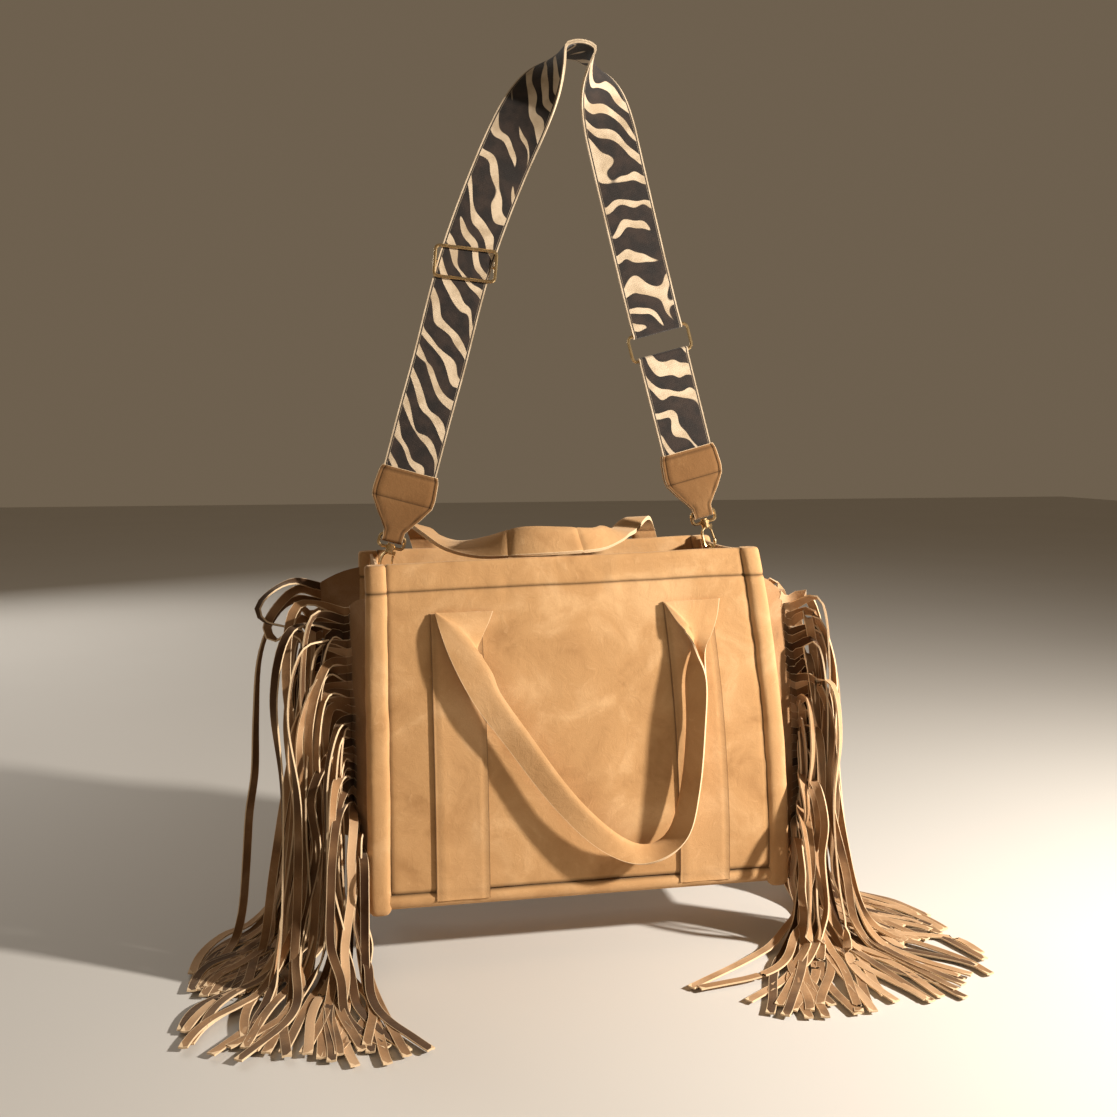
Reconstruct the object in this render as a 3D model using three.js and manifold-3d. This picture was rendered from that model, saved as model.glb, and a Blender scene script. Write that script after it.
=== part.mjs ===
// A fringed suede bag with two handles and a detachable webbing shoulder strap.
//
// Units are millimetres and +Z is up. The model is built in the bag's own frame: X runs along the
// bag's width with 0 at the middle of its base, Y runs from the front face (0) to the back face,
// and Z starts at the underside of the base. The last lines move everything so that the origin is
// the inside top of the strap, the place that the bag hangs by.

import * as THREE from 'three';
import { mergeVertices } from 'three/addons/utils/BufferGeometryUtils.js';
import Module from 'manifold-3d';

const wasm = await Module();
wasm.setup();

// ---- driving dimensions -------------------------------------------------------------------

const GAP = 0.3;

// The bag's shell.
const HALF_WIDTH = 190;
const DEPTH = 150;
const HEIGHT = 315;
const SHEET = 2.2;
const FOLD_GAP = 0.4;
const HEM = 28;
const BASE_BAND = 16;
const BASE_BEND = 9;
const RIM_RISE = 0.032;
const LEAN = 38;
const LEAN_HEIGHT = 325;

// The rolled corner seams.
const ROLL_HALF_WIDTH = 11;
const ROLL_HALF_DEPTH = 9;
const ROLL_INSET = 5;
const ROLL_BOTTOM = -4;

// The handles: wide legs sewn to the panels, folded double in the loop.
const LEG_WIDTH = 49;
const LEG_CENTRE = 115;
const LEG_FOOT = 8;
const LEG_TOP = 270;
const HANDLE_SHEET = 1.8;
const HANDLE_WIDTH = 26;
const HANDLE_THICK = 3.8;

// The shoulder strap.
const WEB_WIDTH = 50;
const WEB_THICK = 1.5;
const LAYER_OFFSET = WEB_THICK / 2 + GAP / 2;
const STRAP_Y = 75;
const STRAP_TOP = new THREE.Vector3(4, STRAP_Y, 784 + WEB_THICK + GAP / 2);
const PEG_REACH = 15;
const TWIST_LEFT = 60;
const TWIST_RIGHT = 35;
const TWIST_END = 0.13;

// The metal fittings.
const WIRE = 3;
const HOOK_WIRE = 2.8;
const RING_LENGTH = 64;
const RING_HEIGHT = 28;
const EYE_LENGTH = 27;
const SLIDER_LENGTH = 60;
const SLIDER_HEIGHT = 31;

// The end tabs of the strap, and where they stand above the hook's seat.
const TAB_LENGTH = 66;
const TAB_THICK = 6.4;
const TAB_FOOT = 31;
const WEB_END = 35;

// The fringe, whose locks end at the surface that lies below the hanging bag.
const FLOOR = -50;
const LOCKS = 9;
const LOCK_SHARE = 0.8;
const LOCK_THICK = 2.4;
const LOCK_STEPS = 12;

// ---- helpers ------------------------------------------------------------------------------

const X = new THREE.Vector3(1, 0, 0);
const Y = new THREE.Vector3(0, 1, 0);
const Z = new THREE.Vector3(0, 0, 1);
const vec = (x, y, z) => new THREE.Vector3(x, y, z);

// Turns a closed three.js geometry into a solid for joining and cutting.
function toSolid(geometry) {
  const bare = geometry.clone();
  bare.deleteAttribute('normal');
  bare.deleteAttribute('uv');
  const merged = mergeVertices(bare, 1e-3);
  const mesh = new wasm.Mesh({
    numProp: 3,
    vertProperties: new Float32Array(merged.attributes.position.array),
    triVerts: new Uint32Array(merged.index.array),
  });
  return new wasm.Manifold(mesh);
}

function toGeometry(solid) {
  const mesh = solid.getMesh();
  const geometry = new THREE.BufferGeometry();
  geometry.setAttribute('position', new THREE.BufferAttribute(mesh.vertProperties, 3));
  geometry.setIndex(new THREE.BufferAttribute(mesh.triVerts, 1));
  geometry.computeVertexNormals();
  return geometry;
}

function join(...geometries) {
  return toGeometry(geometries.map(toSolid).reduce((all, next) => all.add(next)));
}

function cut(geometry, ...tools) {
  return toGeometry(tools.map(toSolid).reduce((rest, tool) => rest.subtract(tool), toSolid(geometry)));
}

// The soft bag's stance: the right side leans inwards towards its top, and the rim rises a little
// from left to right.
function settle(point) {
  const share = (point.x + HALF_WIDTH) / (2 * HALF_WIDTH);
  const lift = point.z * (1 + RIM_RISE * share);
  const lean = LEAN * (point.z / LEAN_HEIGHT) ** 2 * share;
  return vec(point.x - lean, point.y, lift);
}

function settleGeometry(geometry) {
  const position = geometry.attributes.position;
  const point = vec(0, 0, 0);
  for (let i = 0; i < position.count; i += 1) {
    point.fromBufferAttribute(position, i);
    const moved = settle(point);
    position.setXYZ(i, moved.x, moved.y, moved.z);
  }
  return geometry;
}

// A closed solid through a row of four-cornered sections. The four walls between two sections are
// each split along a diagonal, and leansBack(i, k) says which walls take the other diagonal.
function loft(sections, leansBack = () => false) {
  const corners = sections.flat().flatMap((corner) => corner.toArray());
  const last = sections.length - 1;
  const faces = [0, 2, 1, 0, 3, 2];
  for (let i = 0; i < last; i += 1) {
    for (let k = 0; k < 4; k += 1) {
      const a = 4 * i + k;
      const b = 4 * i + (k + 1) % 4;
      if (leansBack(i, k)) {
        faces.push(a, b, a + 4, b, b + 4, a + 4);
      } else {
        faces.push(a, b, b + 4, a, b + 4, a + 4);
      }
    }
  }
  const end = 4 * last;
  faces.push(end, end + 1, end + 2, end, end + 2, end + 3);
  const geometry = new THREE.BufferGeometry();
  geometry.setAttribute('position', new THREE.Float32BufferAttribute(corners, 3));
  geometry.setIndex(faces);
  return geometry;
}

// A flat strip through a row of stations. Each station has a place (at), a direction across the
// strip (across), a width and a thickness. Both faces of the strip are split along the same
// diagonal, so that it keeps its thickness where it twists. A run that goes back along another
// layer is marked as returning, so that its diagonals match that layer's.
function strip(stations) {
  const last = stations.length - 1;
  const sections = stations.map((station, i) => {
    const before = stations[Math.max(i - 1, 0)].at;
    const after = stations[Math.min(i + 1, last)].at;
    const along = after.clone().sub(before).normalize();
    const up = along.clone().cross(station.across).normalize().multiplyScalar(station.thick / 2);
    const across = up.clone().cross(along).normalize().multiplyScalar(station.width / 2);
    const corner = (a, b) => station.at.clone().addScaledVector(across, a).addScaledVector(up, b);
    return [corner(-1, -1), corner(1, -1), corner(1, 1), corner(-1, 1)];
  });
  return loft(sections, (i, k) => (k === 2) !== (stations[i].returning === true));
}

// A round wire along a curve.
function wire(curve, diameter, steps) {
  const section = new THREE.Shape();
  section.absarc(0, 0, diameter / 2, 0, 2 * Math.PI, false);
  return new THREE.ExtrudeGeometry(section, {
    steps,
    extrudePath: curve,
    bevelEnabled: false,
    curveSegments: 4,
  });
}

// The outline of a rounded rectangle, centred, in the X-Z plane.
function roundedLoop(length, height, radius) {
  const a = length / 2 - radius;
  const b = height / 2 - radius;
  const points = [];
  const centres = [[a, b, 0], [-a, b, 90], [-a, -b, 180], [a, -b, 270]];
  for (const [cx, cz, start] of centres) {
    for (const turn of [0, 30, 60, 90]) {
      const angle = THREE.MathUtils.degToRad(start + turn);
      points.push(vec(cx + radius * Math.cos(angle), 0, cz + radius * Math.sin(angle)));
    }
  }
  return points;
}

// A closed ring of round wire through straight stretches between the points given.
function wireRing(points, diameter) {
  const sides = 8;
  const rings = points.map((point, i) => {
    const before = points[(i + points.length - 1) % points.length];
    const after = points[(i + 1) % points.length];
    const into = point.clone().sub(before).normalize();
    const out = after.clone().sub(point).normalize();
    const along = into.clone().add(out).normalize();
    const side = along.clone().cross(Y).normalize();
    const stretch = 1 / Math.max(0.5, into.dot(along));
    const ring = [];
    for (let k = 0; k < sides; k += 1) {
      const angle = 2 * Math.PI * (k + 0.5) / sides;
      const corner = point.clone();
      corner.addScaledVector(side, stretch * Math.cos(angle) * diameter / 2);
      corner.addScaledVector(Y, Math.sin(angle) * diameter / 2);
      ring.push(corner);
    }
    return ring;
  });
  const positions = rings.flat().flatMap((corner) => [corner.x, corner.y, corner.z]);
  const faces = [];
  for (let i = 0; i < rings.length; i += 1) {
    const next = (i + 1) % rings.length;
    for (let k = 0; k < sides; k += 1) {
      const turn = (k + 1) % sides;
      const [a, b] = [i * sides + k, i * sides + turn];
      const [c, d] = [next * sides + turn, next * sides + k];
      faces.push(a, b, c, a, c, d);
    }
  }
  const geometry = new THREE.BufferGeometry();
  geometry.setAttribute('position', new THREE.Float32BufferAttribute(positions, 3));
  geometry.setIndex(faces);
  return toGeometry(outward(geometry));
}

// A solid whose faces point outwards, whichever way its triangles were listed.
function outward(geometry) {
  const position = geometry.attributes.position;
  const index = geometry.index.array;
  let volume = 0;
  for (let i = 0; i < index.length; i += 3) {
    const [a, b, c] = [0, 1, 2].map((k) => vec(0, 0, 0).fromBufferAttribute(position, index[i + k]));
    volume += a.dot(b.cross(c));
  }
  if (volume < 0) {
    const flipped = Array.from(index);
    for (let i = 0; i < flipped.length; i += 3) {
      [flipped[i + 1], flipped[i + 2]] = [flipped[i + 2], flipped[i + 1]];
    }
    geometry.setIndex(flipped);
  }
  return toSolid(geometry);
}

function box(x0, x1, y0, y1, z0, z1) {
  const geometry = new THREE.BoxGeometry(x1 - x0, y1 - y0, z1 - z0);
  return geometry.translate((x0 + x1) / 2, (y0 + y1) / 2, (z0 + z1) / 2);
}

// A round bar between two points.
function bar(from, to, diameter, sides = 12) {
  const length = from.distanceTo(to);
  const geometry = new THREE.CylinderGeometry(diameter / 2, diameter / 2, length, sides);
  const turn = new THREE.Quaternion().setFromUnitVectors(Y, to.clone().sub(from).normalize());
  geometry.applyQuaternion(turn);
  return geometry.translate(...from.clone().add(to).multiplyScalar(0.5).toArray());
}

// ---- materials ----------------------------------------------------------------------------

const suede = (color) => new THREE.MeshStandardMaterial({ color, roughness: 0.92, metalness: 0 });
const SUEDE_BODY = 0xc49662;
const SUEDE_TRIM = 0xb98a58;
const SUEDE_FRINGE = 0xa97c52;
const WEBBING = 0xd8c9a8;
const METAL = 0xd9c08a;
const metal = () => new THREE.MeshStandardMaterial({ color: METAL, roughness: 0.25, metalness: 1 });

const bag = new THREE.Group();

function addPart(name, geometry, material, parent = bag) {
  const mesh = new THREE.Mesh(geometry, material);
  mesh.name = name;
  parent.add(mesh);
  return mesh;
}

// ---- shell: panels and gussets with a turned hem, base, rolled corners ----------------------

// The section of a sheet with its top edge folded in: s is the distance inwards from the outer
// face and z the height. The long outer and inner faces have a few points so that they can lean.
function hemmedSection(foot) {
  const fold = SHEET + FOLD_GAP / 2;
  const bend = HEIGHT - fold;
  const rows = 6;
  const rise = (k) => foot + (bend - foot) * k / rows;
  const section = new THREE.Shape();
  section.moveTo(0, foot);
  for (let k = 1; k <= rows; k += 1) {
    section.lineTo(0, rise(k));
  }
  section.absarc(fold, bend, fold, Math.PI, 0, true);
  section.lineTo(2 * fold, HEIGHT - HEM);
  section.lineTo(2 * fold - SHEET, HEIGHT - HEM);
  section.lineTo(2 * fold - SHEET, bend);
  section.absarc(fold, bend, FOLD_GAP / 2, 0, Math.PI, false);
  for (let k = rows - 1; k >= 0; k -= 1) {
    section.lineTo(SHEET, rise(k));
  }
  return section;
}

function hemmedSheet(foot, length) {
  return new THREE.ExtrudeGeometry(hemmedSection(foot), {
    depth: length,
    bevelEnabled: false,
    curveSegments: 6,
  });
}

const PANEL_HALF = HALF_WIDTH - ROLL_HALF_WIDTH - 0.5;
const ALONG_WIDTH = new THREE.Matrix4().makeBasis(Y, Z, X);
const ALONG_DEPTH = new THREE.Matrix4().makeBasis(X, Z, Y.clone().negate());

function panel(face) {
  const sheet = hemmedSheet(BASE_BAND + GAP, 2 * PANEL_HALF);
  sheet.applyMatrix4(ALONG_WIDTH);
  sheet.translate(-PANEL_HALF, 0, 0);
  if (face === 'back') {
    sheet.rotateZ(Math.PI);
    sheet.translate(0, DEPTH, 0);
  }
  return settleGeometry(sheet);
}

const GUSSET_FROM = ROLL_INSET + ROLL_HALF_DEPTH + GAP;
const GUSSET_OUT = HALF_WIDTH + SHEET / 2;

// The side's section is settled before it is drawn out, which keeps its two ends simple.
function gusset(side) {
  const outline = hemmedSection(1).extractPoints(6).shape.map((corner) => {
    const at = settle(vec(side * (GUSSET_OUT - corner.x), 0, corner.y));
    return new THREE.Vector2(at.x, at.z);
  });
  const length = DEPTH - 2 * GUSSET_FROM;
  const sheet = new THREE.ExtrudeGeometry(new THREE.Shape(outline), { depth: length, bevelEnabled: false });
  sheet.applyMatrix4(ALONG_DEPTH);
  sheet.translate(0, DEPTH - GUSSET_FROM, 0);
  return sheet;
}

// A rolled seam: a soft round bead with a rounded foot that hangs just below the base.
function cornerRoll(side, y, grow = 0) {
  const reach = ROLL_HALF_WIDTH + grow;
  const profile = [new THREE.Vector2(0, ROLL_BOTTOM - grow)];
  for (const turn of [25, 50, 75]) {
    const angle = THREE.MathUtils.degToRad(turn);
    profile.push(new THREE.Vector2(reach * Math.sin(angle), ROLL_BOTTOM - grow + 12 * (1 - Math.cos(angle))));
  }
  const rows = 4;
  const shoulder = HEIGHT - 3;
  for (let k = 0; k <= rows; k += 1) {
    profile.push(new THREE.Vector2(reach, 10 + (shoulder - 10) * k / rows));
  }
  profile.push(new THREE.Vector2(reach - 2.5, HEIGHT));
  profile.push(new THREE.Vector2(0, HEIGHT));
  const roll = new THREE.LatheGeometry(profile, 12);
  roll.rotateX(Math.PI / 2);
  roll.scale(1, (ROLL_HALF_DEPTH + grow) / reach, 1);
  roll.translate(side * HALF_WIDTH, y, 0);
  return settleGeometry(roll);
}

function basePanel() {
  const outer = new THREE.Shape();
  outer.moveTo(0, BASE_BAND);
  outer.lineTo(0, BASE_BEND);
  outer.absarc(BASE_BEND, BASE_BEND, BASE_BEND, Math.PI, 1.5 * Math.PI, false);
  outer.absarc(DEPTH - BASE_BEND, BASE_BEND, BASE_BEND, 1.5 * Math.PI, 2 * Math.PI, false);
  outer.lineTo(DEPTH, BASE_BAND);
  outer.lineTo(DEPTH - SHEET, BASE_BAND);
  outer.absarc(DEPTH - BASE_BEND, BASE_BEND, BASE_BEND - SHEET, 2 * Math.PI, 1.5 * Math.PI, true);
  outer.absarc(BASE_BEND, BASE_BEND, BASE_BEND - SHEET, 1.5 * Math.PI, Math.PI, true);
  outer.lineTo(SHEET, BASE_BAND);
  const half = HALF_WIDTH - SHEET;
  const sheet = new THREE.ExtrudeGeometry(outer, { depth: 2 * half, bevelEnabled: false, curveSegments: 5 });
  sheet.applyMatrix4(ALONG_WIDTH);
  sheet.translate(-half, 0, 0);
  const corners = [];
  for (const side of [-1, 1]) {
    for (const y of [ROLL_INSET, DEPTH - ROLL_INSET]) {
      corners.push(cornerRoll(side, y, GAP));
    }
  }
  return cut(sheet, ...corners);
}

addPart('front_panel', panel('front'), suede(SUEDE_BODY));
addPart('back_panel', panel('back'), suede(SUEDE_BODY));
addPart('left_gusset', gusset(-1), suede(SUEDE_BODY));
addPart('right_gusset', gusset(1), suede(SUEDE_BODY));
addPart('base_panel', basePanel(), suede(SUEDE_TRIM));
for (const [sideName, side] of [['left', -1], ['right', 1]]) {
  for (const [faceName, y] of [['front', ROLL_INSET], ['back', DEPTH - ROLL_INSET]]) {
    addPart(`${faceName}_${sideName}_roll`, cornerRoll(side, y), suede(SUEDE_TRIM));
  }
}

// ---- handles ------------------------------------------------------------------------------

// One long strip: up one leg, round the loop and down the other leg. The loop is given by points
// chosen by hand, each with the direction across the strip.
function handle(y, loop) {
  const leg = (side, z) => ({
    at: settle(vec(side * LEG_CENTRE, y, z)),
    across: vec(-side, 0, 0),
    width: LEG_WIDTH,
    thick: HANDLE_SHEET,
  });
  const heights = [LEG_FOOT, 80, 150, 215, LEG_TOP - 6];
  const left = heights.map((z) => leg(-1, z));
  const right = heights.map((z) => leg(1, z)).reverse();
  const curve = new THREE.CatmullRomCurve3(loop.map((entry) => entry.at), false, 'centripetal');
  const middle = [];
  const steps = 4;
  const spans = loop.length - 1;
  for (let i = 0; i <= spans * steps; i += 1) {
    const place = i / steps;
    const k = Math.min(Math.floor(place), spans - 1);
    const share = place - k;
    const [from, to] = [loop[k], loop[k + 1]];
    middle.push({
      at: curve.getPoint(i / (spans * steps)),
      across: from.across.clone().lerp(to.across, share).normalize(),
      width: THREE.MathUtils.lerp(from.width ?? HANDLE_WIDTH, to.width ?? HANDLE_WIDTH, share),
      thick: THREE.MathUtils.lerp(from.thick ?? HANDLE_THICK, to.thick ?? HANDLE_THICK, share),
    });
  }
  return strip([...left, ...middle, ...right]);
}

const FRONT_LEG_Y = -GAP - HANDLE_SHEET / 2;
const BACK_LEG_Y = DEPTH + GAP + HANDLE_SHEET / 2;
const folded = { width: LEG_WIDTH, thick: HANDLE_SHEET };
const slopeLeft = vec(0.82, 0, 0.57);
const slopeRight = vec(0.98, -0.15, -0.1);

// The front loop turns over at the top of each leg and hangs down the front of the bag.
const frontLoop = [
  { at: settle(vec(-115, -3.6, LEG_TOP + 0.5)), across: X, ...folded },
  { at: settle(vec(-113, -7.5, LEG_TOP - 9)), across: X, width: 44, thick: 2.4 },
  { at: vec(-96, -11, 228), across: slopeLeft },
  { at: vec(-62, -15, 168), across: slopeLeft },
  { at: vec(-24, -17, 108), across: slopeLeft },
  { at: vec(14, -18, 64), across: vec(0.66, 0, 0.75) },
  { at: vec(48, -18, 41), across: vec(0.3, 0, 0.95) },
  { at: vec(74, -18, 44), across: vec(-0.45, 0, 0.89) },
  { at: vec(91, -18, 72), across: vec(-0.92, -0.1, 0.38) },
  { at: vec(99, -17, 120), across: vec(-0.98, -0.1, 0.12) },
  { at: vec(101, -15, 175), across: slopeRight.clone().negate() },
  { at: vec(100, -11, 228), across: slopeRight.clone().negate() },
  { at: settle(vec(116, -7.5, LEG_TOP - 9)), across: X.clone().negate(), width: 44, thick: 2.4 },
  { at: settle(vec(115, -3.6, LEG_TOP + 0.5)), across: X.clone().negate(), ...folded },
];

// The rear loop rises from its legs, crosses the back rim and lies over the mouth of the bag.
const rearLoop = [
  { at: vec(-121, 156, 292), across: X, width: 34, thick: 3 },
  { at: vec(-132, 156, 318), across: vec(0.99, -0.1, 0) },
  { at: vec(-139, 136, 338), across: vec(0.97, -0.1, -0.2) },
  { at: vec(-132, 100, 334), across: vec(0.85, 0.5, -0.1) },
  { at: vec(-116, 64, 329), across: vec(0.6, 0.75, 0.2) },
  { at: vec(-90, 32, 329), across: vec(0.3, 0.75, 0.58) },
  { at: vec(-58, 13, 334), across: vec(0.05, 0.6, 0.8) },
  { at: vec(-20, 9, 335), across: vec(-0.05, 0.6, 0.8) },
  { at: vec(12, 15, 335), across: vec(-0.2, 0.7, 0.68) },
  { at: vec(32, 38, 338), across: vec(-0.6, 0.62, 0.5) },
  { at: vec(46, 72, 336), across: vec(-0.85, 0.45, 0.2) },
  { at: vec(62, 108, 335), across: vec(-0.95, 0.3, 0.05) },
  { at: vec(84, 138, 344), across: vec(-0.98, 0.1, -0.05) },
  { at: vec(98, 157, 324), across: vec(-0.99, 0.05, 0) },
  { at: vec(101, 156, 298), across: X.clone().negate(), width: 34, thick: 3 },
];

// The legs of a hanging strip face the other way on their second side.
function handleNode(y, loop) {
  const geometry = handle(y, loop);
  return toGeometry(outward(geometry));
}

addPart('front_handle', handleNode(FRONT_LEG_Y, frontLoop), suede(SUEDE_TRIM));
addPart('back_handle', handleNode(BACK_LEG_Y, rearLoop), suede(SUEDE_TRIM));

// ---- shoulder strap webbing -----------------------------------------------------------------

// The middle line of the strap, from inside the left end tab over the top to the right ring.
const SLIDER_AT = vec(-100, STRAP_Y, 587);
const LEFT_SLOPE = vec(0.264, 0, 0.9645).normalize();
const RIGHT_SLOPE = vec(-0.262, 0, 0.965).normalize();
const LEFT_SEAT = vec(-178.6, STRAP_Y, 302);
const RIGHT_SEAT = vec(142, STRAP_Y, 321.5);
const RING_REACH = 203.5;

const onLeft = (distance) => LEFT_SEAT.clone().addScaledVector(LEFT_SLOPE, distance);
const onRight = (distance) => RIGHT_SEAT.clone().addScaledVector(RIGHT_SLOPE, distance);
const BAR_REACH = RING_HEIGHT / 2 - WIRE / 2;
const UPPER_BAR = onRight(RING_REACH + BAR_REACH);
const LOWER_BAR = onRight(RING_REACH - BAR_REACH);

const strapLine = new THREE.CatmullRomCurve3([
  onLeft(TAB_FOOT + WEB_END),
  onLeft(TAB_FOOT + 64),
  onLeft(TAB_FOOT + 120),
  vec(-126, STRAP_Y, 492),
  SLIDER_AT,
  vec(-71, STRAP_Y, 664),
  vec(-41, STRAP_Y, 729),
  vec(-20, STRAP_Y, 768),
  vec(-9, STRAP_Y, 782),
  STRAP_TOP,
  vec(17, STRAP_Y, 782),
  vec(25, STRAP_Y, 766),
  vec(36, STRAP_Y, 722),
  vec(51, STRAP_Y, 662),
  vec(70, STRAP_Y, 588),
  UPPER_BAR,
], false, 'centripetal');

// One layer of the strap: a station at each share of the middle line, moved out by the layer's
// offset, and turned from lying across the hang point to facing the front lower down.
function strapStations(shares, offset, returning) {
  const length = strapLine.getLength();
  const topShare = shareNear(STRAP_TOP);
  return shares.map((share) => {
    const away = Math.abs(share - topShare) * length;
    const reach = share < topShare ? TWIST_LEFT : TWIST_RIGHT;
    const fade = Math.exp(-Math.max(0, away - PEG_REACH) / reach);
    const turn = Math.PI / 2 * Math.max(0, (fade - TWIST_END) / (1 - TWIST_END));
    const along = strapLine.getTangentAt(share);
    const outwards = vec(-along.z, 0, along.x);
    const face = Y.clone().multiplyScalar(-Math.cos(turn)).addScaledVector(outwards, Math.sin(turn));
    const at = strapLine.getPointAt(share).addScaledVector(face, offset);
    return { at, across: face.clone().cross(along), width: WEB_WIDTH, thick: WEB_THICK, returning };
  });
}

function shareNear(target) {
  let best = 0;
  let nearest = Infinity;
  const samples = 2000;
  for (let i = 0; i <= samples; i += 1) {
    const distance = strapLine.getPointAt(i / samples).distanceTo(target);
    if (distance < nearest) {
      nearest = distance;
      best = i / samples;
    }
  }
  return best;
}

// A turn of webbing round a bar: from the front layer over or under the bar to the back layer.
function turnRound(centre, slope, towards) {
  const reach = WIRE / 2 + GAP + WEB_THICK / 2;
  const across = slope.clone().cross(Y).multiplyScalar(towards);
  const stations = [];
  for (const degrees of [0, 30, 60, 90, 120, 150, 180]) {
    const angle = THREE.MathUtils.degToRad(degrees);
    const at = centre.clone();
    at.addScaledVector(Y, -reach * Math.cos(angle));
    at.addScaledVector(slope, towards * reach * Math.sin(angle));
    stations.push({ at, across, width: WEB_WIDTH, thick: WEB_THICK });
  }
  return stations;
}

// The sewn end at the slider stays a little above its middle bar.
const sliderShare = shareNear(SLIDER_AT);
const strapLength = strapLine.getLength();
const BACK_LAYER_FROM = sliderShare + 12 / strapLength;
const RING_CLEAR = 5 / strapLength;

// Both layers share their stations, which stand closest where the strap twists.
const frontShares = [];
const twistFrom = shareNear(STRAP_TOP) - 60 / strapLength;
const twistTo = shareNear(STRAP_TOP) + 100 / strapLength;
for (let share = 0; share < 1 - RING_CLEAR - 3 / strapLength;) {
  frontShares.push(share);
  share += (share > twistFrom && share < twistTo ? 5 : 14) / strapLength;
}
frontShares.push(1 - RING_CLEAR);
const backShares = frontShares.filter((share) => share > BACK_LAYER_FROM + 3 / strapLength);
const frontRun = strapStations(frontShares, LAYER_OFFSET, false);
const backRun = strapStations([...backShares].reverse().concat(BACK_LAYER_FROM), -LAYER_OFFSET, true);
const ringTurn = turnRound(UPPER_BAR, RIGHT_SLOPE, -1);
const longWebbing = strip([...frontRun, ...ringTurn, ...backRun]);
addPart('strap_webbing', toGeometry(outward(longWebbing)), suede(WEBBING));

// The short webbing goes from the right end tab up round the lower bar of the ring and back.
function shortWebbing() {
  const foot = onRight(TAB_FOOT + WEB_END);
  const rows = 5;
  const side = (offset, k) => {
    const at = foot.clone().lerp(onRight(RING_REACH - BAR_REACH - 5), k / rows);
    at.addScaledVector(Y, offset);
    const along = LOWER_BAR.clone().sub(foot).normalize();
    return { at, across: along.clone().cross(Y), width: WEB_WIDTH, thick: WEB_THICK };
  };
  const up = [];
  const down = [];
  for (let k = 0; k <= rows; k += 1) {
    up.push(side(-LAYER_OFFSET, k));
    down.push(side(LAYER_OFFSET, rows - k));
  }
  return strip([...up, ...turnRound(LOWER_BAR, RIGHT_SLOPE, 1), ...down]);
}

addPart('strap_short_webbing', toGeometry(outward(shortWebbing())), suede(WEBBING));

// ---- strap end tabs -------------------------------------------------------------------------

// A frame that stands at a seat, with its own Z along the strap and its own Y to the back.
function strapFrame(seat, slope) {
  const group = new THREE.Group();
  const across = Y.clone().cross(slope).normalize();
  group.quaternion.setFromRotationMatrix(new THREE.Matrix4().makeBasis(across, Y, slope.clone().normalize()));
  group.position.copy(seat);
  bag.add(group);
  return group;
}

// Two faces of suede, folded at the foot round the eye's bar, with the webbing held between them.
function endTab(slotThick, slotY) {
  const outline = new THREE.Shape();
  const half = [[9.5, 0], [9.8, 8], [21, 24], [28.5, 36], [29.5, 44], [27.5, TAB_LENGTH]];
  outline.moveTo(-half[0][0], 0);
  for (const [x, z] of half) {
    outline.lineTo(x, z);
  }
  for (const [x, z] of [...half].reverse()) {
    outline.lineTo(-x, z);
  }
  const tab = new THREE.ExtrudeGeometry(outline, { depth: TAB_THICK, bevelEnabled: false });
  tab.rotateX(Math.PI / 2);
  tab.translate(0, TAB_THICK / 2, 0);
  const slotHalf = WEB_WIDTH / 2 + GAP;
  const [near, far] = [slotY - slotThick / 2, slotY + slotThick / 2];
  const slot = box(-slotHalf, slotHalf, near, far, WEB_END - 1, TAB_LENGTH + 20);
  const bore = bar(vec(-30, 0, 3.4), vec(30, 0, 3.4), WIRE + 2 * GAP);
  return cut(tab, slot, bore);
}

const leftFrame = strapFrame(LEFT_SEAT, LEFT_SLOPE);
const rightFrame = strapFrame(RIGHT_SEAT, RIGHT_SLOPE);
const leftTab = endTab(WEB_THICK + 2 * GAP, -LAYER_OFFSET);
const rightTab = endTab(2 * WEB_THICK + 3 * GAP, 0);
addPart('left_end_tab', leftTab.translate(0, 0, TAB_FOOT), suede(SUEDE_TRIM), leftFrame);
addPart('right_end_tab', rightTab.translate(0, 0, TAB_FOOT), suede(SUEDE_TRIM), rightFrame);

// ---- slider and ring ------------------------------------------------------------------------

const sliderFrame = new THREE.Group();
const sliderAlong = strapLine.getTangentAt(sliderShare);
const sliderTurn = new THREE.Matrix4().makeBasis(Y.clone().cross(sliderAlong), Y, sliderAlong);
sliderFrame.quaternion.setFromRotationMatrix(sliderTurn);
sliderFrame.rotateY(THREE.MathUtils.degToRad(-13));
sliderFrame.position.copy(SLIDER_AT);
bag.add(sliderFrame);

// A frame in front of the webbing with deep ends, and a middle bar behind the webbing.
function slider() {
  const frontFace = -LAYER_OFFSET - WEB_THICK / 2 - GAP - WIRE / 2;
  const barBehind = -LAYER_OFFSET + WEB_THICK / 2 + GAP + WIRE / 2;
  const ring = wireRing(roundedLoop(SLIDER_LENGTH - WIRE, SLIDER_HEIGHT - WIRE, 4), WIRE);
  ring.translate(0, frontFace, 0);
  const end = SLIDER_LENGTH / 2 - WIRE / 2;
  const middle = bar(vec(-end, barBehind, 0), vec(end, barBehind, 0), WIRE);
  const cheeks = [-1, 1].map((side) => {
    const x = side * end;
    return box(x - 1.1, x + 1.1, frontFace - 0.4, barBehind + 0.4, -5, 5);
  });
  return join(ring, middle, ...cheeks);
}

addPart('strap_slider', slider(), metal(), sliderFrame);

const ringFrame = strapFrame(onRight(RING_REACH), RIGHT_SLOPE);
const ringLoop = roundedLoop(RING_LENGTH - WIRE, RING_HEIGHT - WIRE, 5);
addPart('strap_ring', wireRing(ringLoop, WIRE), metal(), ringFrame);

// ---- snap hooks, in the strap's frame with 0 at the seat of the hook ------------------------

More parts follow.
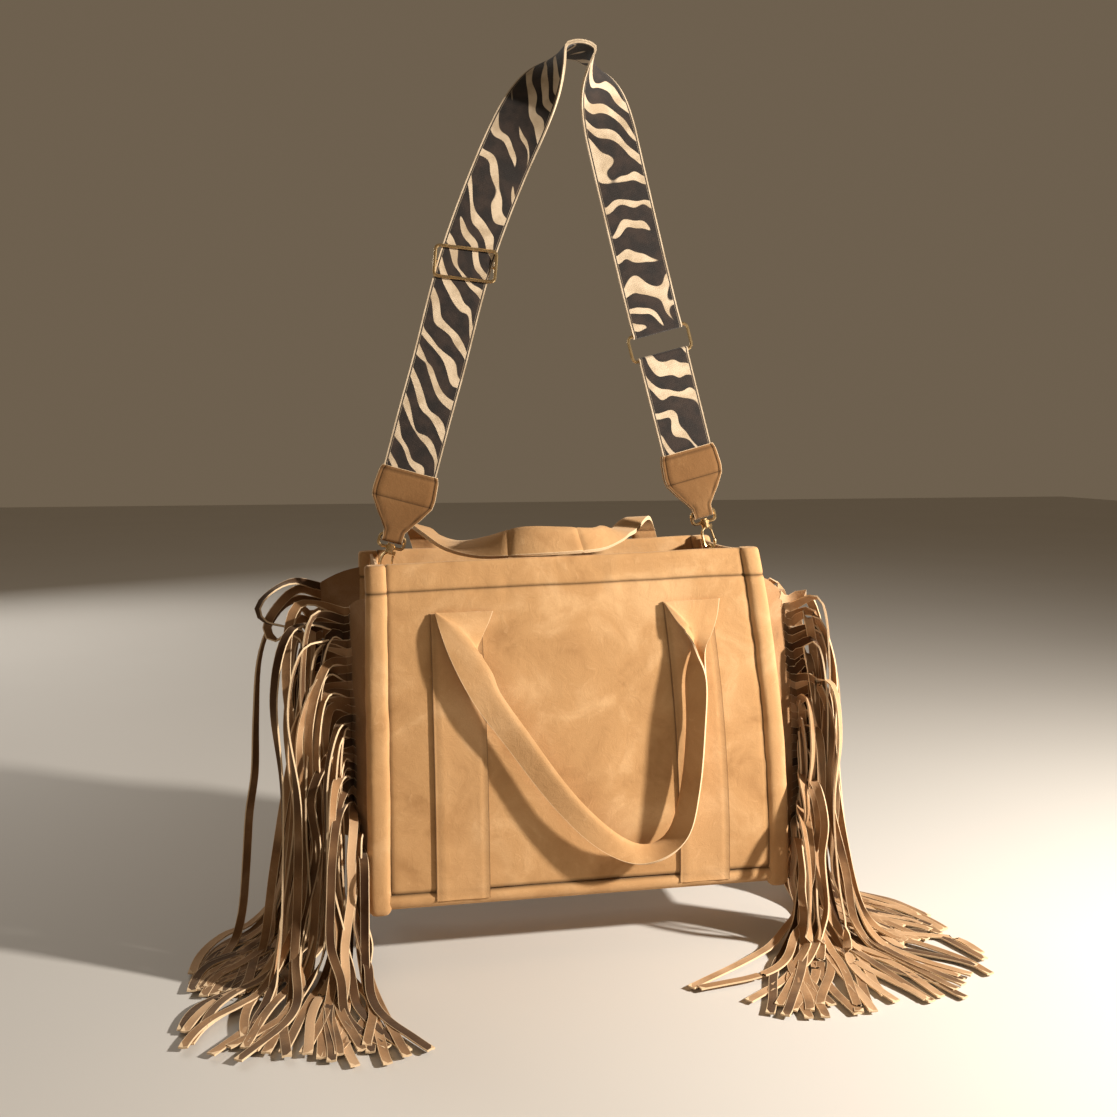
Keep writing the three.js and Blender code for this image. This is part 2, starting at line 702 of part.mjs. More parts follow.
const HOOK_RADIUS = 5.6;
const SEAT_PLAY = 0.8;
const SEAT_DROP = WIRE / 2 + SEAT_PLAY + HOOK_WIRE / 2;
const COLLAR_FROM = 18;
const HUB_FROM = 21.3;
const HUB_TO = 25;
const BAR_AT = TAB_FOOT + 3.4;
const GATE_HINGE = vec(4.6, 0, 15.2);
const GATE_TIP = vec(HOOK_RADIUS, 0, 5);

// The eye: a loop whose top bar lies in the tab's fold, with a hub for the swivel.
function swivelEye() {
  const height = BAR_AT - (HUB_FROM + HUB_TO) / 2;
  const loop = wireRing(roundedLoop(EYE_LENGTH - WIRE, height, 3.5), WIRE);
  loop.translate(0, 0, BAR_AT - height / 2);
  const hub = bar(vec(0, 0, HUB_FROM), vec(0, 0, HUB_TO), 9, 16);
  const bore = bar(vec(0, 0, HUB_FROM - 5), vec(0, 0, HUB_TO + 5), 4.4, 16);
  return cut(join(loop, hub), bore);
}

// The hook: a collar and post on the swivel's axis, and a narrow round-ended bend of wire.
function hookBody() {
  const points = [vec(0, 0, COLLAR_FROM + 1), vec(-4, 0, COLLAR_FROM - 2)];
  points.push(vec(-5.4, 0, 12), vec(-HOOK_RADIUS, 0, 6));
  const centre = HOOK_RADIUS - SEAT_DROP;
  for (const degrees of [180, 210, 240, 270, 300, 330, 360]) {
    const angle = THREE.MathUtils.degToRad(degrees);
    points.push(vec(HOOK_RADIUS * Math.cos(angle), 0, centre + HOOK_RADIUS * Math.sin(angle)));
  }
  points.push(vec(HOOK_RADIUS, 0, 4.2));
  const bend = wire(new THREE.CatmullRomCurve3(points, false, 'centripetal'), HOOK_WIRE, 20);
  const shoulder = box(0, 6.2, -1.5, 1.5, 16.6, COLLAR_FROM + 2);
  const collar = bar(vec(0, 0, COLLAR_FROM), vec(0, 0, HUB_FROM - GAP), 7.5, 16);
  const post = bar(vec(0, 0, COLLAR_FROM + 1), vec(0, 0, HUB_TO + GAP + 1), 3.6, 16);
  const head = bar(vec(0, 0, HUB_TO + GAP), vec(0, 0, HUB_TO + GAP + 1.6), 6.4, 16);
  return join(bend, shoulder, collar, post, head);
}

// The gate: a flat finger from its hinge under the shoulder down to the hook's nose.
function gate() {
  const along = GATE_TIP.clone().sub(GATE_HINGE).normalize();
  const knuckle = bar(GATE_HINGE.clone().setY(-1.3), GATE_HINGE.clone().setY(1.3), 2.2, 12);
  const finger = bar(GATE_HINGE, GATE_TIP.clone().addScaledVector(along, -0.2), 1.9, 10);
  return join(knuckle, finger);
}

for (const [sideName, frame] of [['left', leftFrame], ['right', rightFrame]]) {
  addPart(`${sideName}_swivel_eye`, swivelEye(), metal(), frame);
  addPart(`${sideName}_snap_hook`, hookBody(), metal(), frame);
  addPart(`${sideName}_hook_gate`, gate(), metal(), frame);
}

// ---- D rings and their suede tabs, inside the rim -------------------------------------------

const RING_BAR = 22;
const RING_DEPTH = 15;

// The ring's bar lies along Y by the gusset and its bow reaches up to the hook's seat.
function dRing(lean, seat) {
  const rise = Math.sqrt(1 - lean * lean);
  const up = vec(-lean, 0, rise);
  const foot = seat.clone().addScaledVector(up, -RING_DEPTH);
  const half = RING_BAR / 2;
  const points = [];
  points.push([-half, 0], [-half * 0.5, 0], [half * 0.5, 0], [half, 0]);
  for (const degrees of [15, 40, 65, 90, 115, 140, 165]) {
    const angle = THREE.MathUtils.degToRad(degrees);
    points.push([half * Math.cos(angle), RING_DEPTH * Math.sin(angle)]);
  }
  const flat = points.map(([a, b]) => vec(a, 0, b));
  const ring = wireRing(flat, WIRE);
  const turn = new THREE.Matrix4().makeBasis(Y, Y.clone().cross(up).negate(), up);
  ring.applyMatrix4(turn);
  ring.translate(foot.x, foot.y, foot.z);
  return { ring: toGeometry(outward(ring)), foot };
}

// A short strap of suede, sewn to the gusset inside the hem and folded over the ring's bar.
function ringTab(side, foot) {
  const eye = WIRE / 2 + GAP;
  const outer = eye + 1.6;
  const width = 13;
  const reach = vec(0, width / 2, 0);
  const loop = bar(foot.clone().sub(reach), foot.clone().add(reach), 2 * outer, 16);
  const hole = bar(foot.clone().sub(vec(0, width, 0)), foot.clone().add(vec(0, width, 0)), 2 * eye, 16);
  const tail = 40;
  const x0 = foot.x - (side < 0 ? outer : -outer + 3.2);
  const body = box(x0, x0 + 3.2, STRAP_Y - width / 2, STRAP_Y + width / 2, foot.z - tail, foot.z);
  return cut(join(loop, body), hole);
}

const ringSides = [['left', -1, LEFT_SEAT, -0.25], ['right', 1, RIGHT_SEAT, 0.42]];
for (const [sideName, side, seat, lean] of ringSides) {
  const { ring, foot } = dRing(lean, seat);
  addPart(`${sideName}_d_ring`, ring, metal());
  addPart(`${sideName}_ring_tab`, ringTab(side, foot), suede(SUEDE_TRIM));
}

// ---- fringe ---------------------------------------------------------------------------------

// Each fringe is one sheet of suede, sewn along an upright seam of the bag. Its header stays
// whole, and the rest is cut into locks that fall to the surface below and run out along it.
//   flare  from the seam to the header's outer edge, at the top and at the foot
//   hang   from that edge to where the lock hangs down
//   land   the way that the lock runs out below
//   run    how far it runs out
const SEAM_X = HALF_WIDTH + ROLL_HALF_WIDTH + 3;
const FRONT_SEAM_Y = 10;
const BACK_SEAM_Y = DEPTH - 9;
const FRINGE_FOOT = 22;

const fringes = [
  {
    name: 'left_front_fringe',
    side: -1,
    y: FRONT_SEAM_Y,
    top: 284,
    flare: [vec(-16, 28, -8), vec(-9, 16, 8)],
    hang: [vec(-58, -26, 0), vec(-2, -42, 0)],
    land: [vec(-0.6, -0.8, 0), vec(0.3, -0.95, 0)],
    run: [85, 150],
  },
  {
    name: 'left_back_fringe',
    side: -1,
    y: BACK_SEAM_Y,
    top: 300,
    flare: [vec(-43, 9, -16), vec(-33, 7, 8)],
    hang: [vec(-36, -16, 0), vec(-16, -14, 0)],
    land: [vec(-0.72, -0.7, 0), vec(-0.35, -0.93, 0)],
    run: [60, 75],
  },
  {
    name: 'right_front_fringe',
    side: 1,
    y: FRONT_SEAM_Y,
    top: 287,
    flare: [vec(29, 14, -16), vec(11, 5, 8)],
    hang: [vec(54, -18, 0), vec(-10, -40, 0)],
    land: [vec(0.75, -0.66, 0), vec(-0.62, -0.78, 0)],
    run: [75, 140],
  },
  {
    name: 'right_back_fringe',
    side: 1,
    y: BACK_SEAM_Y,
    top: 290,
    flare: [vec(38, -8, -24), vec(30, 2, 8)],
    hang: [vec(58, -14, 0), vec(12, -32, 0)],
    land: [vec(0.8, -0.6, 0), vec(0.45, -0.89, 0)],
    run: [60, 60],
  },
];

const between = (pair, share) => pair[0].clone().lerp(pair[1], share);

// The middle line of the lock that starts at a share of the way down the header.
function lockLine(fringe, share) {
  const height = THREE.MathUtils.lerp(fringe.top, FRINGE_FOOT, share);
  const seam = settle(vec(fringe.side * SEAM_X, fringe.y, height));
  const edge = seam.clone().add(between(fringe.flare, share));
  const land = between(fringe.land, share).normalize();
  const hang = between(fringe.hang, share);
  const run = THREE.MathUtils.lerp(fringe.run[0], fringe.run[1], share);
  const fall = edge.z - FLOOR;
  const shoulder = edge.clone().addScaledVector(hang, 0.7).add(vec(0, 0, -4));
  const drop = edge.clone().add(hang).add(vec(0, 0, -0.14 * fall - 6));
  const low = edge.clone().add(hang).addScaledVector(land, 6).setZ(FLOOR + 0.3 * fall);
  const touch = low.clone().addScaledVector(land, 18).setZ(FLOOR + LOCK_THICK / 2);
  const end = touch.clone().addScaledVector(land, run);
  const line = new THREE.CatmullRomCurve3([edge, shoulder, drop, low, touch, end], false, 'centripetal');
  const points = [seam];
  for (let i = 0; i <= LOCK_STEPS; i += 1) {
    const point = line.getPointAt(i / LOCK_STEPS);
    point.z = Math.max(point.z, FLOOR + LOCK_THICK / 2);
    points.push(point);
  }
  return points;
}

// A closed sheet over the cells of a grid that are there, with walls round every open edge.
function thickGrid(columns, isThere, thick) {
  const [wide, long] = [columns.length, columns[0].length];
  const pick = (i, k) => columns[Math.min(Math.max(i, 0), wide - 1)][Math.min(Math.max(k, 0), long - 1)];
  const positions = [];
  for (let i = 0; i < wide; i += 1) {
    for (let k = 0; k < long; k += 1) {
      const along = pick(i, k + 1).clone().sub(pick(i, k - 1));
      const across = pick(i + 1, k).clone().sub(pick(i - 1, k));
      const half = across.cross(along).normalize().multiplyScalar(thick / 2);
      positions.push(...columns[i][k].clone().add(half).toArray());
      positions.push(...columns[i][k].clone().sub(half).toArray());
    }
  }
  const top = (i, k) => 2 * (i * long + k);
  const faces = [];
  const quad = (a, b, c, d) => faces.push(a, b, c, a, c, d);
  const wall = (a, b) => quad(a, b, b + 1, a + 1);
  const open = (i, k) => i < 0 || k < 0 || i >= wide - 1 || k >= long - 1 || !isThere(i, k);
  for (let i = 0; i < wide - 1; i += 1) {
    for (let k = 0; k < long - 1; k += 1) {
      if (open(i, k)) {
        continue;
      }
      const [a, b, c, d] = [top(i, k), top(i + 1, k), top(i + 1, k + 1), top(i, k + 1)];
      quad(a, b, c, d);
      quad(a + 1, d + 1, c + 1, b + 1);
      const sides = [
        [open(i, k - 1), b, a],
        [open(i + 1, k), c, b],
        [open(i, k + 1), d, c],
        [open(i - 1, k), a, d],
      ];
      for (const [isOpen, from, to] of sides) {
        if (isOpen) {
          wall(from, to);
        }
      }
    }
  }
  const geometry = new THREE.BufferGeometry();
  geometry.setAttribute('position', new THREE.Float32BufferAttribute(positions, 3));
  geometry.setIndex(faces);
  return toGeometry(outward(geometry));
}

// Even cells of the grid are locks and odd ones the cuts between them; the header has no cuts.
function fringeSheet(fringe) {
  const columns = [];
  for (let lock = 0; lock < LOCKS; lock += 1) {
    columns.push(lockLine(fringe, lock / LOCKS));
    columns.push(lockLine(fringe, (lock + LOCK_SHARE) / LOCKS));
  }
  return thickGrid(columns, (i, k) => k === 0 || i % 2 === 0, LOCK_THICK);
}

for (const fringe of fringes) {
  addPart(fringe.name, fringeSheet(fringe), suede(SUEDE_FRINGE));
}

// ---- the whole bag, with its origin at the inside top of the strap ---------------------------

bag.position.set(-STRAP_TOP.x, -STRAP_Y, -(STRAP_TOP.z - WEB_THICK - GAP / 2));
const model = new THREE.Group();
model.add(bag);
export default model;
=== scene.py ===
# %% [markdown]
# # A fringed suede bag
#
# The bag hangs by its shoulder strap. A frame from the CAD model says where everything is, and
# this lesson dresses it: soft suede over the shell, handles folded from flat strips, four
# fringes cut from flat sheets, and a patterned webbing strap with its metal fittings.

import math
import random

import bpy
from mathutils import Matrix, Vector, noise


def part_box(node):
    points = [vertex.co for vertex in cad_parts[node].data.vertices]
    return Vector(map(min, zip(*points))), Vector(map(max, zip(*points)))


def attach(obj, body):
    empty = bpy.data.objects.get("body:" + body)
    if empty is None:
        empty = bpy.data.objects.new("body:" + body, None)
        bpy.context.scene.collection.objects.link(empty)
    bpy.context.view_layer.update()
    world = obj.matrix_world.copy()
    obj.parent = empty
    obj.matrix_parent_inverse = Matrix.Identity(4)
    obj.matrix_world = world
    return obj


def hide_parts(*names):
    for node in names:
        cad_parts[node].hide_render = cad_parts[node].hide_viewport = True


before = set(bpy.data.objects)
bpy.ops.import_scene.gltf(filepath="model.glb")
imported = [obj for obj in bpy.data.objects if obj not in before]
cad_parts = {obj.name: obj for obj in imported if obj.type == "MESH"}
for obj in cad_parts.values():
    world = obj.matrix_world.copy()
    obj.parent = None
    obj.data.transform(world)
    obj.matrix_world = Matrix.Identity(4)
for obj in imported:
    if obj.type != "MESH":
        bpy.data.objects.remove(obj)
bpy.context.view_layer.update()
bag_low, bag_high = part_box("base_panel")
MIDDLE_X = (bag_low.x + bag_high.x) / 2
FRONT_Y = bag_low.y
UNDERSIDE_Z = bag_low.z

# %% [markdown]
# Patterns for leather goods are drawn in millimetres from one corner of the bag. `spot` turns
# such a place into metres in the frame. A soft bag doesn't stand square: its right side leans
# in and its rim rises to the right, which `settle` does to every drawn place.

# %% Places on the bag
HALF_WIDTH, DEPTH, HEIGHT = 190, 150, 315
RIM_RISE, LEAN, LEAN_HEIGHT = 0.032, 38, 325
FLOOR = -50
SIDES = ((-1, "left"), (1, "right"))


def spot(x, y, z):
    return Vector((MIDDLE_X + x / 1000, FRONT_Y + y / 1000, UNDERSIDE_Z + z / 1000))


def settle(x, y, z):
    share = (x + HALF_WIDTH) / (2 * HALF_WIDTH)
    lean = LEAN * (z / LEAN_HEIGHT) ** 2 * share
    return Vector((x - lean, y, z * (1 + RIM_RISE * share)))


def mix(a, b, share):
    return a + (b - a) * share


def ease(share):
    share = min(max(share, 0), 1)
    return share * share * (3 - 2 * share)


def steps(start, end, count):
    return [mix(start, end, i / count) for i in range(count + 1)]


def ripple(x, z, size, seed):
    """Soft noise from -1 to 1, with hills about size apart."""
    return noise.noise(Vector((x / size, z / size, seed)))


corner = settle(HALF_WIDTH, 0, HEIGHT)
print("shell", 2 * HALF_WIDTH, DEPTH, HEIGHT, "mm, its right rim settles to", [round(v) for v in corner])

# %% [markdown]
# ## Suede
#
# Suede has no gloss. Its look is the nap: fine fibres that lie one way or another, so the same
# hide shows lighter and darker clouds, short scuffs and a soft bright rim. Two bumps stand for
# the nap and for the hide's slow unevenness. The nap is built from a few kinds of node, so each
# kind gets a short helper first. A helper takes a tree, which is a material's or a group's.

# %% Helpers for nodes
def new_group(name, inputs, outputs):
    group = bpy.data.node_groups.new(name, "ShaderNodeTree")
    for label, kind, value in inputs:
        socket = group.interface.new_socket(name=label, in_out="INPUT", socket_type=kind)
        socket.default_value = value
    for label, kind in outputs:
        group.interface.new_socket(name=label, in_out="OUTPUT", socket_type=kind)
    start = group.nodes.new("NodeGroupInput")
    end = group.nodes.new("NodeGroupOutput")
    return group, start, end


def math_node(tree, operation, first, second, clamp=False):
    node = tree.nodes.new("ShaderNodeMath")
    node.operation = operation
    node.use_clamp = clamp
    for socket, value in zip(node.inputs, (first, second)):
        if isinstance(value, (int, float)):
            socket.default_value = value
        else:
            tree.links.new(value, socket)
    return node.outputs[0]


def mix_colours(tree, share, first, second, how="MIX"):
    node = tree.nodes.new("ShaderNodeMix")
    node.data_type = "RGBA"
    node.blend_type = how
    for number, value in ((0, share), (6, first), (7, second)):
        socket = node.inputs[number]
        if isinstance(value, (int, float, tuple)):
            socket.default_value = value
        else:
            tree.links.new(value, socket)
    return node.outputs[2]


def noise_node(tree, place, scale, detail, rough=0.5, distortion=0.0):
    node = tree.nodes.new("ShaderNodeTexNoise")
    node.inputs["Scale"].default_value = scale
    node.inputs["Detail"].default_value = detail
    node.inputs["Roughness"].default_value = rough
    node.inputs["Distortion"].default_value = distortion
    tree.links.new(place, node.inputs["Vector"])
    return node.outputs["Fac"]


def ramp(tree, value, low, high):
    node = tree.nodes.new("ShaderNodeMapRange")
    node.interpolation_type = "SMOOTHSTEP"
    node.inputs["From Min"].default_value = low
    node.inputs["From Max"].default_value = high
    tree.links.new(value, node.inputs["Value"])
    return node.outputs["Result"]


print("node helpers for maths, colours, noise and ramps")

# %% [markdown]
# ### The nap
#
# All four suedes have the same nap in their own colours, so it is a node group with the colours
# and the strength of the clouds as inputs. A painted texture could do it too, but noise on the
# object's own coordinates has no seams and needs no picture.

# %% The nap group
def make_nap_group():
    colour = "NodeSocketColor"
    number = "NodeSocketFloat"
    group, start, end = new_group(
        "suede_nap",
        [("Hide", colour, (0.5, 0.28, 0.12, 1)), ("Light nap", colour, (0.7, 0.45, 0.24, 1)),
         ("Dark nap", colour, (0.3, 0.15, 0.06, 1)), ("Clouds", number, 0.6)],
        [("Color", colour), ("Height", number), ("Roughness", number)])
    place = group.nodes.new("ShaderNodeTexCoord").outputs["Object"]
    clouds = noise_node(group, place, 17, 4, 0.6, 0.6)
    scuffs = noise_node(group, place, 75, 3, 0.65, 1.6)
    fibres = noise_node(group, place, 1500, 2, 0.7)
    light = math_node(group, "MULTIPLY", ramp(group, clouds, 0.48, 0.72), start.outputs["Clouds"])
    dark = math_node(group, "MULTIPLY", ramp(group, clouds, 0.50, 0.28), start.outputs["Clouds"])
    rubbed = mix_colours(group, light, start.outputs["Hide"], start.outputs["Light nap"])
    rubbed = mix_colours(group, dark, rubbed, start.outputs["Dark nap"])
    marks = math_node(group, "MULTIPLY", ramp(group, scuffs, 0.60, 0.78), 0.35)
    rubbed = mix_colours(group, marks, rubbed, start.outputs["Light nap"])
    speck = math_node(group, "MULTIPLY", ramp(group, fibres, 0.35, 0.75), 0.22)
    rubbed = mix_colours(group, speck, rubbed, start.outputs["Dark nap"])
    group.links.new(rubbed, end.inputs["Color"])
    pile = math_node(group, "MULTIPLY", fibres, 0.35)
    height = math_node(group, "ADD", pile, math_node(group, "MULTIPLY", scuffs, 0.9))
    height = math_node(group, "ADD", height, math_node(group, "MULTIPLY", clouds, 1.6))
    group.links.new(height, end.inputs["Height"])
    rough = math_node(group, "ADD", 0.80, math_node(group, "MULTIPLY", scuffs, 0.2))
    group.links.new(rough, end.inputs["Roughness"])
    return group


NAP = make_nap_group()
print("nap group with", len(NAP.nodes), "nodes")

# %% [markdown]
# ### The four suedes
#
# Panels, trim, tabs and fringes are cut from hides of slightly different tone. Each finish adds
# to the nap what is stored on the piece: `crease` paints shade into a sewn furrow, `edge` shows
# the paler inside of the hide at a cut, and `tone` makes one strand lighter than the next.

# %% The suede finishes
PALE_EDGE = (0.80, 0.60, 0.38, 1)
FURROW_SHADE = 0.16


def read_attribute(tree, name):
    node = tree.nodes.new("ShaderNodeAttribute")
    node.attribute_name = name
    return node.outputs["Fac"]


def make_suede(name, hide, light, dark, clouds, edge_width=0.6, tones=False):
    material = bpy.data.materials.new(name)
    material.use_nodes = True
    tree = material.node_tree
    shader = tree.nodes["Principled BSDF"]
    nap = tree.nodes.new("ShaderNodeGroup")
    nap.node_tree = NAP
    nap.inputs["Hide"].default_value = (*hide, 1)
    nap.inputs["Light nap"].default_value = (*light, 1)
    nap.inputs["Dark nap"].default_value = (*dark, 1)
    nap.inputs["Clouds"].default_value = clouds
    colour = nap.outputs["Color"]
    if tones:
        tone = read_attribute(tree, "tone")
        colour = mix_colours(tree, ramp(tree, tone, 0.62, 0.05), colour, (*dark, 1))
        colour = mix_colours(tree, math_node(tree, "MULTIPLY", ramp(tree, tone, 0.6, 1.0), 0.7),
                             colour, (*light, 1))
    # Painted shade: the crease mask darkens sewn furrows, seam lines and leg rims towards FURROW_SHADE.
    crease = math_node(tree, "MULTIPLY", read_attribute(tree, "crease"), 0.85)
    colour = mix_colours(tree, crease, colour, tuple(FURROW_SHADE * v for v in dark) + (1,))
    cut = ramp(tree, read_attribute(tree, "edge"), edge_width, edge_width * 0.2)
    colour = mix_colours(tree, math_node(tree, "MULTIPLY", cut, 0.8), colour, PALE_EDGE)
    bump = tree.nodes.new("ShaderNodeBump")
    bump.inputs["Strength"].default_value = 0.35
    bump.inputs["Distance"].default_value = 0.0012
    tree.links.new(nap.outputs["Height"], bump.inputs["Height"])
    tree.links.new(bump.outputs["Normal"], shader.inputs["Normal"])
    tree.links.new(colour, shader.inputs["Base Color"])
    tree.links.new(nap.outputs["Roughness"], shader.inputs["Roughness"])
    shader.inputs["Specular IOR Level"].default_value = 0.12
    shader.inputs["Sheen Weight"].default_value = 0.25
    shader.inputs["Sheen Roughness"].default_value = 0.45
    shader.inputs["Sheen Tint"].default_value = (1.0, 0.80, 0.58, 1)
    return material


SUEDE_BODY = make_suede("suede_body", hide=(0.50, 0.285, 0.125), light=(0.68, 0.43, 0.22),
                        dark=(0.34, 0.175, 0.068), clouds=0.7)
SUEDE_TRIM = make_suede("suede_trim", hide=(0.52, 0.30, 0.135), light=(0.70, 0.45, 0.24),
                        dark=(0.35, 0.18, 0.07), clouds=0.5)
SUEDE_TAB = make_suede("suede_tab", hide=(0.21, 0.105, 0.04), light=(0.29, 0.165, 0.072),
                       dark=(0.14, 0.065, 0.022), clouds=0.35)
SUEDE_FRINGE = make_suede("suede_fringe", hide=(0.33, 0.18, 0.082), light=(0.58, 0.38, 0.22),
                          dark=(0.055, 0.024, 0.01), clouds=0.45, edge_width=0.55, tones=True)
print("suedes:", SUEDE_BODY.name, SUEDE_TRIM.name, SUEDE_TAB.name, SUEDE_FRINGE.name)

# %% [markdown]
# ## Working a sheet
#
# Nearly every piece is a flat sheet that was cut, bent and sewn. So one helper adds a grid the
# size of the pattern piece, moves each corner to its place, stores the flat pattern as the UV
# map, and lets Solidify give the sheet its thickness. It also stores two masks: the distance
# to the nearest cut edge, and how deep a point lies in a sewn crease. Before it come the small
# jobs of every piece: selecting, storing a mask, and applying modifiers.

# %% Selecting, masks and modifiers
SMOOTH_ANGLE = 50


def deselect_all():
    if bpy.context.object and bpy.context.object.mode != "OBJECT":
        bpy.ops.object.mode_set(mode="OBJECT")
    bpy.ops.object.select_all(action="DESELECT")


def store_mask(mesh, name, values):
    mask = mesh.attributes.new(name, "FLOAT", "POINT")
    mask.data.foreach_set("value", values)


def apply_modifiers(piece):
    deselect_all()
    bpy.context.view_layer.objects.active = piece
    piece.select_set(True)
    for modifier in list(piece.modifiers):
        bpy.ops.object.modifier_apply(modifier=modifier.name)
    bpy.ops.object.shade_smooth_by_angle(angle=math.radians(SMOOTH_ANGLE))
    piece.select_set(False)


print("edges sharper than", SMOOTH_ANGLE, "degrees stay sharp")

# %% [markdown]
# ### From pattern to sheet
#
# The grid operator makes the flat pattern. `place`, `crease` and `edge` are functions of a point
# on the pattern, in millimetres, so a piece is described by how its pattern is bent and sewn.
# A point that is far from every cut edge has `UNCUT` as its distance.

# %% The sheet helper
UNCUT = 99.0


def sheet(name, across, along, place, thick, material, crease=None, edge=None, loose=False):
    """A grid with across and along as its pattern's lines, put in place by place(a, b)."""
    deselect_all()
    wide, long = len(across) - 1, len(along) - 1
    bpy.ops.mesh.primitive_grid_add(x_subdivisions=wide, y_subdivisions=long, size=1)
    piece = bpy.context.object
    piece.name = name
    piece.data.name = name
    mesh = piece.data
    lines = [(round((v.co.x + 0.5) * wide), round((v.co.y + 0.5) * long)) for v in mesh.vertices]
    edges, creases = [], []
    for vertex, (i, j) in zip(mesh.vertices, lines):
        a, b = across[i], along[j]
        vertex.co = spot(*place(a, b))
        edges.append(edge(a, b) if edge else UNCUT)
        creases.append(crease(a, b) if crease else 0.0)
    for loop in mesh.loops:
        i, j = lines[loop.vertex_index]
        mesh.uv_layers[0].data[loop.index].uv = (across[i] / 1000, along[j] / 1000)
    store_mask(mesh, "edge", edges)
    store_mask(mesh, "crease", creases)
    mesh.materials.append(material)
    if thick:
        wall = piece.modifiers.new("wall", "SOLIDIFY")
        wall.thickness = thick / 1000
        wall.offset = 0
    if not loose:
        apply_modifiers(piece)
    return piece


def cut_sides(across):
    """The edge function of a strip whose two long sides are cut."""
    return lambda a, b: min(a - across[0], across[-1] - a)


def joined(name, pieces):
    deselect_all()
    for piece in pieces:
        piece.select_set(True)
    bpy.context.view_layer.objects.active = pieces[0]
    bpy.ops.object.join()
    whole = bpy.context.object
    whole.name = name
    whole.data.name = name
    deselect_all()
    return whole


def fit(piece, slot, *nodes, body="bag"):
    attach(piece, body)
    if nodes:
        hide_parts(*nodes)
    print(piece.name, len(piece.data.polygons), "faces")


print("a sheet is cut, bent, given its wall and fitted to its body")

# %% [markdown]
# ## The front and the back
#
# Each face is one suede panel. Its top edge is turned over to the inside and held by a row of
# stitches, which pull a shallow furrow with small puckers beside it. The face itself is never
# flat: the hide sags a little between the seams that hold it. A relief of soft noise and a
# profile for each sewn line say how far the suede stands out.

# %% Soft relief
SHEET = 2.2
BAND = 16
HEM_LINE = 290
PANEL_EDGE = 180


def near(distance, width):
    return math.exp(-((distance / width) ** 2))


def relief(x, z, seed):
    """How far the suede of a face stands out, in mm."""
    out = 1.1 * ripple(x, z, 90, seed) + 0.5 * ripple(x, z, 34, seed + 3)
    out += 1.2 * math.cos(math.pi * x / 400) * math.sin(math.pi * min(z, HEIGHT) / HEIGHT)
    return out


def puckers(x, z, seed):
    furrow = -0.9 * near(z - HEM_LINE, 1.5)
    furrow += 0.6 * ripple(x, 0, 8, seed) * near(z - HEM_LINE, 9)
    furrow -= 0.8 * near(abs(x) - PANEL_EDGE, 2.5)
    furrow += 0.7 * ripple(0, z, 11, seed + 1) * near(abs(x) - PANEL_EDGE, 9)
    furrow -= 0.7 * near(z - BAND, 3) + 0.5 * ripple(x, 5, 13, seed) * near(z - BAND, 12)
    return furrow


middle = [round(relief(0, z, 2.3), 1) for z in (80, 160, 240)]
print("the front's middle stands out by", middle, "mm at three heights")

# %% [markdown]
# ### One panel, twice
#
# The pattern goes up the face, over the rim and down inside as the turned-in hem. Rows lie close
# together where a furrow or the fold needs them, and wide apart on the plain face. The same
# function makes the back, with its depth counted from the other side.

# %% The panels
FOLD = 1.3
FACE_SEED = {True: 2.3, False: 7.9}


def panel(name, front):
    top = HEIGHT - FOLD - SHEET / 2
    turn = math.pi * FOLD
    down = top + turn
    rows = steps(BAND + 0.5, 90, 22) + steps(94, 270, 40) + steps(273, 286, 5)
    rows += [288, 289, 290, 291, 292.5, 295, 299, 304, 309, top]
    rows += [top + turn * k / 4 for k in (1, 2, 3)]
    rows += [down, down + 5, down + 12, down + 22, down + 27]
    columns = [-PANEL_EDGE, -178.5, -176] + steps(-173, 173, 84) + [176, 178.5, PANEL_EDGE]
    seed = FACE_SEED[front]

    def place(x, b):
        if b <= top:
            z, depth = b, SHEET / 2
            depth -= relief(x, z, seed) * ease((top - z) / 25) + puckers(x, z, seed)
        elif b < down:
            angle = math.pi * (b - top) / turn
            z = top + FOLD * math.sin(angle)
            depth = SHEET / 2 + FOLD * (1 - math.cos(angle))
        else:
            z, depth = top - (b - down), SHEET / 2 + 2 * FOLD
            depth += 0.4 * ripple(x, z, 30, seed)
        depth += 0.5 * ripple(x, 2, 26, seed + 5) * ease((b - 270) / 40)
        rise = 1.3 * ripple(x, 9, 70, seed) * ease((b - 240) / 60)
        return settle(x, depth if front else DEPTH - depth, z + rise)

    def crease(x, b):
        dark = near(b - HEM_LINE, 1.3) if b < top else 0
        return min(1, dark + near(abs(x) - PANEL_EDGE, 1.8) + near(b - BAND, 1.6))

    return sheet(name, columns, rows, place, SHEET, SUEDE_BODY, crease=crease)


front_panel = panel("front_suede", True)
back_panel = panel("back_suede", False)
fit(front_panel, "suede_body", "front_panel")
fit(back_panel, "suede_body", "back_panel")

# %% [markdown]
# ## The sides and the base
#
# The narrow sides sink inwards between the corners, most in the middle and near the mouth. A
# cosine across the side gives the sag, and noise keeps it from looking pressed.

# %% The gussets
GUSSET_X = 188.4
GUSSET_EDGE = 60


def gusset(name, side):
    rows = steps(1.5, 284, 60) + [286, 288, 289, 290, 291, 292.5, 296, 301, 307, 311, 313]
    columns = steps(-GUSSET_EDGE, GUSSET_EDGE, 32)
    seed = 4.1 + side

    def place(across, z):
        sag = 2.2 * math.cos(math.pi * across / 140) * ease(z / 120)
        sag += 1.0 * ripple(across, z, 46, seed) + 0.9 * near(z - HEM_LINE, 1.5)
        x = side * (GUSSET_X - sag)
        rise = -2.5 * math.cos(math.pi * across / 130) * ease((z - 250) / 60)
        return settle(x, DEPTH / 2 + across, z + rise)

    def crease(across, z):
        return near(z - HEM_LINE, 1.3)

    return sheet(name, columns, rows, place, SHEET, SUEDE_BODY, crease=crease)


